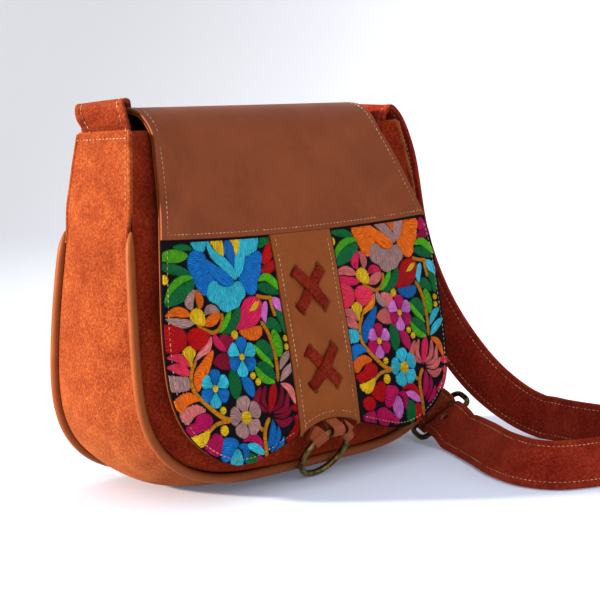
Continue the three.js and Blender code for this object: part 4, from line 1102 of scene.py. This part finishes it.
def wrap_line(tree, half_at, angles, out=0.1):
    """A line over the flap from its front to its back, at a distance from the middle."""
    line = []
    for angle in angles:
        way = Vector((0, -math.cos(angle), math.sin(angle)))
        x = half_at(CREST)
        for _ in range(4):
            start = Vector((x * MM, 0, 0)) + FLAP_MIDDLE + way * 0.3
            place, _ = find_on(tree, start, -way, out)
            x = half_at(place.z / MM)
        if (place.y - FLAP_MIDDLE.y) * way.y >= 0:
            line.append(place)
    return line


def tube(name, points, radius, sides=12):
    """A round bar with closed ends along points in millimetres."""
    path = smooth_path(points, 6)
    along = np.gradient(path, axis=0)
    along /= np.linalg.norm(along, axis=1)[:, None]
    across = np.cross(along, tuple(BUCKLE_WIDE))
    across /= np.linalg.norm(across, axis=1)[:, None]
    turns = np.arange(sides) * 2 * math.pi / sides
    section = [(radius * math.cos(a), radius * math.sin(a)) for a in turns]
    return swept(name, (path, across, np.cross(along, across)), section)


def cut_out(piece, cutters):
    """Cuts other pieces out of one piece and removes them."""
    for cutter in cutters:
        modifier = piece.modifiers.new("cut", "BOOLEAN")
        modifier.operation = "DIFFERENCE"
        modifier.solver = "EXACT"
        modifier.object = cutter
    apply_modifiers(piece)
    for cutter in cutters:
        bpy.data.objects.remove(cutter)


def joined(name, pieces):
    """Joins pieces into one under a new name."""
    activate(pieces[0])
    for piece in pieces[1:]:
        piece.select_set(True)
    bpy.ops.object.join()
    pieces[0].name = name
    pieces[0].data.name = name
    return pieces[0]


def thread_piece(name, slot, material, rows, settings):
    """Stitch rows in one piece: each row is a line of points."""
    made = [stitch_row(f"{name}_{k}", row, settings) for k, row in enumerate(rows)]
    return finish_piece(joined(name, made), material, slot)


def build_body(settings):
    """The suede walls, their piping and their seams."""
    # Painted light: the gusset and the walls are one suede. It is painted lighter and oranger, with more
    # sheen, on the sunlit gusset, and darker and redder on the shaded walls. The seam beads and hem rolls
    # take the gusset's sunlit copy.
    hide = suede("sunlit_orange_suede_gusset", settings.sunlit_gusset_colour, settings.nap, 0.5, "F4AA70")
    shaded_wall_hide = suede("shaded_rust_suede_walls", settings.shaded_wall_colour, settings.nap, 0.2, "E87844")
    for name, node in (("front_wall", "front_panel"), ("back_wall", "back_panel")):
        finish_piece(soft_copy(name, node, 0.5), shaded_wall_hide, "body_suede", node)
    finish_piece(soft_copy("side_wall", "gusset", 0.5), hide, "body_suede", "gusset")
    tan = smooth_leather("tan_piping_leather", settings.piping_colour, 0.42)
    for name, node in (("front_cord", "piping_front"), ("back_cord", "piping_back")):
        cord = finish_piece(soft_copy(name, node, 0, 2, 0.22), tan, "piping_leather", node)
        pinch_ends(cord)
    walls = tree_of(bpy.data.objects["side_wall"])
    front = tree_of(bpy.data.objects["front_wall"])
    rows = []
    for side in (-1, 1):
        hem = [leaned(side * BESIDE, y, HEM_STITCHES) for y in np.linspace(-22, 22, 30)]
        rows.append(laid(walls, hem, (-side, 0, 0)))
        front_hem = [leaned(side * x, -BESIDE, HEM_STITCHES) for x in np.linspace(115.5, 60, 30)]
        rows.append(laid(front, front_hem, (0, 1, 0)))
        seam = [leaned(side * BESIDE, 2.4 - y, z) for y, z in spaced([r[1:] for r in SEAM[2:]], 1.5)]
        rows.append(laid(walls, seam, (-side, 0, 0), 0.05))
        for end in (-1, 1):
            bead = [leaned(side * (x - 0.9), end * (y + 0.1), z) for x, y, z in SEAM]
            finish_piece(tube(f"seam_{side + 1}{end + 1}", bead, 1.5), hide, "body_suede")
        across = ((117.2, -23), (117.9, -10), (118.2, 0), (117.9, 10), (117.2, 23))
        roll = [leaned(side * (x - 0.9), y, HEM_TOP) for x, y in across]
        finish_piece(tube(f"hem_{side + 1}", roll, 1.15), hide, "body_suede")
    thread = waxed_thread("cream_thread_body", settings.thread_colour)
    thread_piece("body_stitches", "body_suede", thread, rows, settings)


def build_flap(settings):
    """The leather flap: its backing, the plain brown part over the crest, and its stitches."""
    tan = smooth_leather("tan_backing_leather", linear("7E4218")[:3], 0.5)
    brown = smooth_leather("brown_flap_leather", settings.flap_colour, settings.gloss, 0.05)
    finish_piece(soft_copy("backing", "flap_backing", 0.35), tan, "piping_leather", "flap_backing")
    top = finish_piece(soft_copy("crest_leather", "flap_top", 0.5), brown, "flap_leather", "flap_top")
    tree = tree_of(top)
    rows = []
    for side in (-1, 1):
        def edge_at(z, side=side):
            return side * (flap_half(z) - FLAP_INSET)

        low = front_line(tree, [(edge_at(z), z) for z in (159.6, 163.4)])
        rows.append(low + wrap_line(tree, edge_at, np.linspace(-0.34, 2.6, 110)))
    seam = [(x, z + 3.4) for x, z in SEAM_EDGE if x < 113]
    rows.append(front_line(tree, [(-x, z) for x, z in reversed(seam)] + seam[1:]))
    hem = min(z for _, y, z in places_of(top) if y > 0.03) / MM + FLAP_INSET
    rows.append(laid(tree, [(x, 1 / MM, hem) for x in np.linspace(-99, 99, 80)], (0, -1, 0)))
    thread = waxed_thread("cream_thread_flap", settings.thread_colour)
    thread_piece("flap_stitches", "flap_leather", thread, rows, settings)


def build_embroidery(settings):
    """Both embroidered panels: black ground cloth, satin-stitch flowers and the edge stitching."""
    cloth = ground_cloth("black_ground_cloth", "08070A", "17141C")
    silk = satin_thread("satin_stitch_cotton")
    thread = waxed_thread("cream_thread_panels", settings.thread_colour)
    rows = []
    for colourway, side in enumerate(("left", "right")):
        ground = soft_copy(f"ground_{side}", f"embroidery_{side}", 0.4)
        finish_piece(ground, cloth, "embroidered_cloth", f"embroidery_{side}")
        tree = tree_of(ground)
        flowers = embroider(f"flowers_{side}", tree, colourway, settings.satin_rise)
        finish_piece(flowers, silk, "embroidered_cloth")
        edge = inset_line(LOBE_EDGE, PANEL_INSET) * ((-1, 1)[colourway], 1)
        edge = edge[edge[:, 1] < PANEL_TOP]
        # The stitches run over the flowers.
        rows.append(front_line(tree, edge[2:], 0.95 * settings.satin_rise / MM))
    thread_piece("panel_stitches", "embroidered_cloth", thread, rows, settings)


def slit_dent(x, z):
    """How deep the strip is cut at a place, for the eight slits that the lacing goes through."""
    depth = 0
    ends = [pair for cross in CROSSES for pair in (cross, cross[::-1])]
    for (own, other), side in ((pair, side) for pair in ends for side in (-1, 1)):
        way = Vector((-2 * side * SLIT_SIDE, other - own)).normalized()
        off = Vector((x - side * SLIT_SIDE, z - own))
        along = SLIT_HALF_WIDE - abs(off.dot(way))
        across = SLIT_HALF_LONG - abs(off.dot(Vector((-way.y, way.x))))
        if along > 0 and across > 0:
            depth = max(depth, min(1, along * 1.6) * min(1, across * 1.4))
    return depth


def build_strip(settings):
    """The brown strip down the middle, its stitches and the two crosses of suede lacing."""
    brown = smooth_leather("brown_strip_leather", settings.strip_colour, settings.gloss, 0.06)
    tree = tree_of(bpy.data.objects["backing"])

    def place(u, v):
        q = 2 * u - 1
        low = STRIP_LOW + STRIP_ARCH * (1 - q * q)
        high = STRIP_HIGH + 0.2 * q * q
        x, z = q * STRIP_HALF, low + (high - low) * v
        return front_place(tree, x, z, STRIP_FACE - STRIP_THICK * slit_dent(x, z))[0]

    strip = grid_piece("strip", 66, 150, place)
    activate(strip)
    strip.modifiers.new("thickness", "SOLIDIFY").thickness = STRIP_THICK * MM
    strip.modifiers["thickness"].offset = -1 if strip.data.polygons[0].normal.y < 0 else 1
    strip.modifiers.new("rims", "BEVEL").width = 0.35 * MM
    strip.modifiers["rims"].segments = 2
    strip.modifiers["rims"].angle_limit = math.radians(60)
    apply_modifiers(strip)
    edit(strip, lambda: bpy.ops.mesh.normals_make_consistent(inside=False))
    smooth(strip, 40)
    finish_piece(strip, brown, "strip_leather", "flap_strip")
    face = tree_of(strip)
    rows = [front_line(face, [(side * STRIP_STITCHES, 37), (side * STRIP_STITCHES, 149)]) for side in (-1, 1)]
    arch = [(q * STRIP_STITCHES, 37.4 + STRIP_ARCH * (1 - (q * 0.85) ** 2)) for q in np.linspace(-1, 1, 20)]
    rows.append(front_line(face, arch))
    thread = waxed_thread("cream_thread_strip", settings.thread_colour)
    thread_piece("strip_stitches", "strip_leather", thread, rows, settings)
    hide = suede("rust_suede_lacing", linear("86281A")[:3], settings.nap, 0.1)
    for cross, (top, low), turn in zip(("upper", "lower"), CROSSES, (1, -1)):
        for layer, side in (("over", turn), ("under", -turn)):
            ends = (-SLIT_SIDE * side, top), (SLIT_SIDE * side, low)
            band = lace(f"band_{cross}_{layer}", tree, *ends, layer == "over")
            finish_piece(band, hide, "lace_suede", f"lace_{cross}_{layer}")


def lace(name, tree, start, end, over):
    """A suede band that rises from its slit, lies across the strip and sinks into the other slit."""
    # Share of the way to the other slit, then the height there of the upper and of the lower band.
    half = (
        (0, -1.6, -1.6), (0.03, 0.4, 0.4), (0.09, 1.0, 1.0), (0.22, 1.25, 0.95), (0.36, 2.2, 0.85),
        (0.5, 2.35, 0.75))
    rise = [(share, upper if over else lower) for share, upper, lower in half]
    rise += [(1 - share, height) for share, height in reversed(rise[:-1])]
    run = Vector((end[0] - start[0], 0, end[1] - start[1])).normalized()
    rows = []
    for share, height in rise:
        x, z = (start[k] + (end[k] - start[k]) * share for k in (0, 1))
        place, normal = front_place(tree, x, z, 2.3 + height)
        rows.append((tuple(place / MM), tuple(normal.cross(run))))
    frames = strap_frames(rows, 6, 1, 1)
    section = []
    for angle in np.arange(16) * math.pi / 8:
        wide, high = math.cos(angle), math.sin(angle)
        section.append((
            BAND_HALF_WIDE * np.sign(wide) * abs(wide) ** 0.75,
            BAND_HALF_THICK * np.sign(high) * abs(high) ** 0.8))
    share = np.linspace(-1, 1, len(frames[0]))
    band = swept(name, frames, section, 0.74 + 0.26 * (1 - np.abs(share) ** 3))
    smooth(band, 60)
    return band


def round_ring(name, radius, wire, sides, turn):
    """A round ring, its radii in millimetres, with its sides round and across, placed by a matrix."""
    bpy.ops.object.select_all(action="DESELECT")
    bpy.ops.mesh.primitive_torus_add(
        major_radius=radius * MM, minor_radius=wire * MM, major_segments=sides[0], minor_segments=sides[1])
    piece = bpy.context.object
    piece.name = name
    set_places(piece, [tuple(turn @ Vector(place)) for place in places_of(piece)])
    smooth(piece)
    return piece


def build_ring(settings):
    """The brass ring and the three leather loops that hold it."""
    brass = aged_brass("antique_brass_ring", "4A3C20", "A08C54", 0.34)
    turn = Matrix.Translation(RING_AT * MM) @ Matrix.Rotation(math.radians(RING_TILT), 4, "X")
    ring = round_ring("brass_ring", RING_RADIUS, RING_WIRE, (128, 24), turn)
    finish_piece(ring, brass, "ring_brass", "ring")
    leather = smooth_leather("brown_loop_leather", linear("9A5230")[:3], settings.gloss)
    for side in ("left", "middle", "right"):
        node = f"ring_loop_{side}"
        finish_piece(soft_copy(f"loop_{side}", node, 0.3, 2), leather, "strip_leather", node)


def strap_rows(frames, first, last, settings):
    """Four stitch rows along a strap: near both edges, on both faces."""
    path, widths, faces = frames
    beside = STRAP_WIDTH / 2 - settings.strap_stitch_inset / MM
    sunk = STRAP_THICK / 2 - 0.12
    return [
        (path + widths * across * beside + faces * out * sunk)[first:last] * MM
        for across in (-1, 1)
        for out in (-1, 1)
    ]


def build_strap(settings):
    """Both straps: two layers of suede, stitched at both edges, with slots for the buckle's prong."""
    hides = {
        "strap_long": suede("rust_suede_long_strap", settings.strap_colour, settings.nap, 0.25, "F08A58"),
        # Painted light: the short strap is the long strap's suede, painted lighter and oranger with more
        # sheen, as sunlit.
        "strap_short": suede(
            "sunlit_orange_suede_short_strap", settings.sunlit_short_strap_colour, settings.nap, 0.35, "F4A068"),
    }
    thread = waxed_thread("cream_thread_strap", settings.thread_colour)
    # Steps along the strap and out of its face: round the rear bar, and over the front bar.
    sewn = (STRAP_THICK + GAP) / 2
    under = -SEAT - STRAP_THICK - GAP
    turned = 0.72 * SEAT
    short_end = buckle_rows([
        (-HALF_BAR - 22, sewn), (-HALF_BAR - 12, sewn + 0.3), (-HALF_BAR, SEAT), (turned - HALF_BAR, turned),
        (SEAT - HALF_BAR, 0), (turned - HALF_BAR, -turned), (-HALF_BAR, -SEAT),
        (-HALF_BAR - 12, -sewn - 0.3), (-HALF_BAR - 18, -sewn)])
    long_end = buckle_rows([
        (HALF_BAR + 12, SEAT + 0.3), (HALF_BAR, SEAT), (0.2 * HALF_BAR, 0.1 * SEAT),
        (-0.5 * HALF_BAR, 0.8 * under), (-HALF_BAR, under), (-HALF_BAR - 14, under)])
    section = strap_section(STRAP_WIDTH, STRAP_THICK, settings.strap_stitch_inset / MM)
    reach = BAR_RADIUS + GAP + PRONG_RADIUS
    turns = [math.radians(a) for a in range(60, 241, 30)]
    prong = [buckle_place(-HALF_BAR + reach * math.cos(a), reach * math.sin(a)) for a in turns]
    prong += [buckle_place(along, -reach) for along in (-HALF_BAR + 1, 0, HALF_BAR)]
    prong.append(buckle_place(HALF_BAR + 2.4, 0.4 - reach))
    for name, node, rows in (
        ("short_strap", "strap_short", SHORT_ROUTE + short_end),
        ("long_strap", "strap_long", LONG_ROUTE + long_end),
    ):
        frames = strap_frames(rows, 9)
        piece = swept(name, frames, section)
        cutters = [tube(f"{name}_slot", prong, SLOT_RADIUS)]
        if node == "strap_long":
            hole = [buckle_place(HOLE_AT, SEAT + out) for out in (-4, 0, 4)]
            cutters.append(tube("strap_hole", hole, HOLE_RADIUS, 24))
        cut_out(piece, cutters)
        smooth(piece, 45)
        finish_piece(piece, hides[node], "strap_suede", node)
        thread_piece(f"{name}_stitches", "strap_suede", thread, strap_rows(frames, 6, -8, settings), settings)


def build_buckle(settings):
    """The dark brass buckle, its prong and the rim of the strap's hole."""
    brass = aged_brass("dark_antique_brass", "282214", "84744A", 0.34)
    for name, node in (("buckle_bar", "buckle_frame"), ("prong", "buckle_prong")):
        finish_piece(soft_copy(name, node, 0, 2, 0.1), brass, "buckle_brass", node)
    rim = aged_brass("green_brass_rim", "3A3A20", "A8A078", 0.4)
    middle = Vector(buckle_place(HOLE_AT, SEAT + STRAP_THICK / 2)) * MM
    turn = Matrix.Translation(middle) @ BUCKLE_FACE.to_track_quat("Z", "Y").to_matrix().to_4x4()
    finish_piece(round_ring("hole_rim", HOLE_RADIUS + 0.05, 0.55, (32, 10), turn), rim, "buckle_brass")


def backdrop(away, right):
    """A sheet of paper that lies under the bag and bends up behind it."""

    def place(u, v):
        run = v * PAPER_RUN
        turn = min(max((run - PAPER_FLOOR) / PAPER_BEND, 0), math.pi / 2)
        depth = min(run, PAPER_FLOOR) + PAPER_BEND * math.sin(turn)
        height = PAPER_BEND * (1 - math.cos(turn)) + max(0, run - PAPER_FLOOR - PAPER_BEND * math.pi / 2)
        return away * (depth - PAPER_FRONT) + right * (u - 0.5) * PAPER_WIDTH + Vector((0, 0, height))

    paper = grid_piece("backdrop", 2, 104, place)
    smooth(paper, 60)
    paper.data.materials.append(pale_paper("pale_paper_backdrop", away, right))
    return paper


def add_camera(right):
    """The camera at the photo's angle."""
    turn, height, roll = (math.radians(angle) for angle in (CAMERA_TURN, CAMERA_HEIGHT, CAMERA_ROLL))
    back = Vector((-math.sin(turn) * math.cos(height), -math.cos(turn) * math.cos(height), math.sin(height)))
    up = back.cross(right)
    turned = right * math.cos(roll) + up * math.sin(roll)
    upright = up * math.cos(roll) - right * math.sin(roll)
    at = CAMERA_AIM * MM + back * CAMERA_DISTANCE * MM
    camera = bpy.data.objects.new("camera", bpy.data.cameras.new("camera"))
    bpy.context.collection.objects.link(camera)
    camera.data.lens = CAMERA_LENS
    camera.data.sensor_width = 36
    columns = ((*turned, 0), (*upright, 0), (*back, 0), (*at, 1))
    camera.matrix_world = Matrix(columns).transposed()
    bpy.context.scene.camera = camera
    return camera


def add_lights(settings):
    """A low, warm sun from the left and behind, and a pale room all round."""
    sun = bpy.data.objects.new("key", bpy.data.lights.new("key", "SUN"))
    bpy.context.collection.objects.link(sun)
    sun.data.energy = settings.key_power
    sun.data.angle = math.radians(5)
    sun.data.color = linear("FFF4E4")[:3]
    low = math.radians(15)
    toward = Vector((-0.83 * math.cos(low), 0.56 * math.cos(low), math.sin(low)))
    sun.location = toward
    sun.rotation_euler = toward.to_track_quat("Z", "Y").to_euler()
    world = bpy.context.scene.world or bpy.data.worlds.new("studio")
    bpy.context.scene.world = world
    world.use_nodes = True
    room = world.node_tree.nodes.get("Background")
    room.inputs["Color"].default_value = linear("ECEEF6")
    room.inputs["Strength"].default_value = settings.room_light
    return sun


def build_stage(settings):
    """The pale floor and backdrop, the lights, the camera and the picture's tones."""
    turn = math.radians(CAMERA_TURN)
    away = Vector((math.sin(turn), math.cos(turn), 0))
    right = Vector((math.cos(turn), -math.sin(turn), 0))
    paper = backdrop(away, right)
    camera = add_camera(right)
    sun = add_lights(settings)
    view = bpy.context.scene.view_settings
    view.view_transform = "Standard"
    view.exposure = 0.25
    view.gamma = 0.86


def colour_setting(name, description, colour):
    """A colour that a user may change, with its usual value in sRGB hex."""
    return bpy.props.FloatVectorProperty(
        name=name, description=description, subtype="COLOR", default=linear(colour)[:3])


class BagSettings(bpy.types.PropertyGroup):
    """What a designer may change before the bag's surfaces are built."""

    stitch_pitch: bpy.props.FloatProperty(
        name="Stitch Pitch", description="Distance from one stitch to the next", default=0.0031, min=0.002,
        unit="LENGTH")
    stitch_length: bpy.props.FloatProperty(
        name="Stitch Length", description="Length of one stitch", default=0.0023, min=0.001, unit="LENGTH")
    thread_radius: bpy.props.FloatProperty(
        name="Thread Radius", description="Radius of the sewing thread", default=0.00032, min=0.0001,
        unit="LENGTH")
    strap_stitch_inset: bpy.props.FloatProperty(
        name="Strap Stitch Inset", description="Distance of the strap's stitches from its edge",
        default=0.004, min=0.002, max=0.008, unit="LENGTH")
    satin_rise: bpy.props.FloatProperty(
        name="Satin Rise", description="How far the satin stitch stands above its cloth", default=0.0009,
        min=0.0003, unit="LENGTH")
    nap: bpy.props.FloatProperty(
        name="Nap", description="Size of the suede's tufts against their usual size", default=1.0, min=0.5)
    # The walls' and the gusset's colours are one suede, painted as shaded and as sunlit.
    shaded_wall_colour: colour_setting("Wall Colour", "Suede of the front and back", "8C2E16")
    sunlit_gusset_colour: colour_setting("Gusset Colour", "Suede of the sides", "924121")
    strap_colour: colour_setting("Long Strap Colour", "Suede of the long strap", "942E1D")
    # The short strap's colour is the long strap's suede painted as sunlit.
    sunlit_short_strap_colour: colour_setting("Short Strap Colour", "Suede of the strap with the buckle", "8C3820")
    piping_colour: colour_setting("Piping Colour", "Leather round the seams", "925028")
    flap_colour: colour_setting("Flap Colour", "Leather over the crest", "8A4824")
    strip_colour: colour_setting("Strip Colour", "Leather down the middle", "925020")
    thread_colour: colour_setting("Thread Colour", "Thread of all seams", "D6B486")
    gloss: bpy.props.FloatProperty(
        name="Leather Roughness", description="Roughness of the brown leathers", default=0.42, min=0.2,
        max=0.8, subtype="FACTOR")
    key_power: bpy.props.FloatProperty(
        name="Key Light", description="Strength of the low light from the left and behind", default=6.0,
        min=0)
    room_light: bpy.props.FloatProperty(
        name="Room Light", description="Strength of the light from all sides", default=0.95, min=0)


def build_group(build, context):
    """Builds one group of pieces, and fails where that made nothing."""
    before = len(bpy.data.objects)
    build(context.scene.bag)
    if len(bpy.data.objects) <= before:
        raise RuntimeError(f"{build.__name__} made no piece")
    return {"FINISHED"}


class BAG_OT_body(bpy.types.Operator):
    """Build the suede walls, the piping and their stitches"""

    bl_idname = "bag.body"
    bl_label = "Build Body"

    def execute(self, context):
        return build_group(build_body, context)


class BAG_OT_flap(bpy.types.Operator):
    """Build the leather flap and its stitches"""

    bl_idname = "bag.flap"
    bl_label = "Build Flap"

    def execute(self, context):
        return build_group(build_flap, context)


class BAG_OT_embroidery(bpy.types.Operator):
    """Build both embroidered panels"""

    bl_idname = "bag.embroidery"
    bl_label = "Build Embroidery"

    def execute(self, context):
        return build_group(build_embroidery, context)


class BAG_OT_strip(bpy.types.Operator):
    """Build the middle strip and its lacing"""

    bl_idname = "bag.strip"
    bl_label = "Build Strip"

    def execute(self, context):
        return build_group(build_strip, context)


class BAG_OT_ring(bpy.types.Operator):
    """Build the brass ring and its three loops"""

    bl_idname = "bag.ring"
    bl_label = "Build Ring"

    def execute(self, context):
        return build_group(build_ring, context)


class BAG_OT_strap(bpy.types.Operator):
    """Build both straps and their stitches"""

    bl_idname = "bag.strap"
    bl_label = "Build Straps"

    def execute(self, context):
        return build_group(build_strap, context)


class BAG_OT_buckle(bpy.types.Operator):
    """Build the buckle and its prong"""

    bl_idname = "bag.buckle"
    bl_label = "Build Buckle"

    def execute(self, context):
        return build_group(build_buckle, context)


class BAG_OT_stage(bpy.types.Operator):
    """Build the backdrop, the lights and the camera"""

    bl_idname = "bag.stage"
    bl_label = "Build Stage"

    def execute(self, context):
        return build_group(build_stage, context)


STEPS = (
    BAG_OT_body, BAG_OT_flap, BAG_OT_embroidery, BAG_OT_strip, BAG_OT_ring, BAG_OT_strap, BAG_OT_buckle,
    BAG_OT_stage,
)


class BAG_PT_panel(bpy.types.Panel):
    """The bag's sizes and build steps"""

    bl_idname = "BAG_PT_panel"
    bl_label = "Suede Crossbody Bag"
    bl_space_type = "VIEW_3D"
    bl_region_type = "UI"
    bl_category = "Bag"

    def draw(self, context):
        settings = context.scene.bag
        for name in settings.bl_rna.properties.keys():
            if name not in ("rna_type", "name"):
                self.layout.prop(settings, name)
        for step in STEPS:
            self.layout.operator(step.bl_idname)


CLASSES = (BagSettings, *STEPS, BAG_PT_panel)


def register():
    for item in CLASSES:
        bpy.utils.register_class(item)
    bpy.types.Scene.bag = bpy.props.PointerProperty(type=BagSettings)


def unregister():
    del bpy.types.Scene.bag
    for item in reversed(CLASSES):
        bpy.utils.unregister_class(item)


def main():
    """Builds the whole bag and its stage."""
    register()
    bpy.ops.bag.body()
    bpy.ops.bag.flap()
    bpy.ops.bag.embroidery()
    bpy.ops.bag.strip()
    bpy.ops.bag.ring()
    bpy.ops.bag.strap()
    bpy.ops.bag.buckle()
    bpy.ops.bag.stage()
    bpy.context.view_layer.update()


if __name__ == "__main__":
    main()
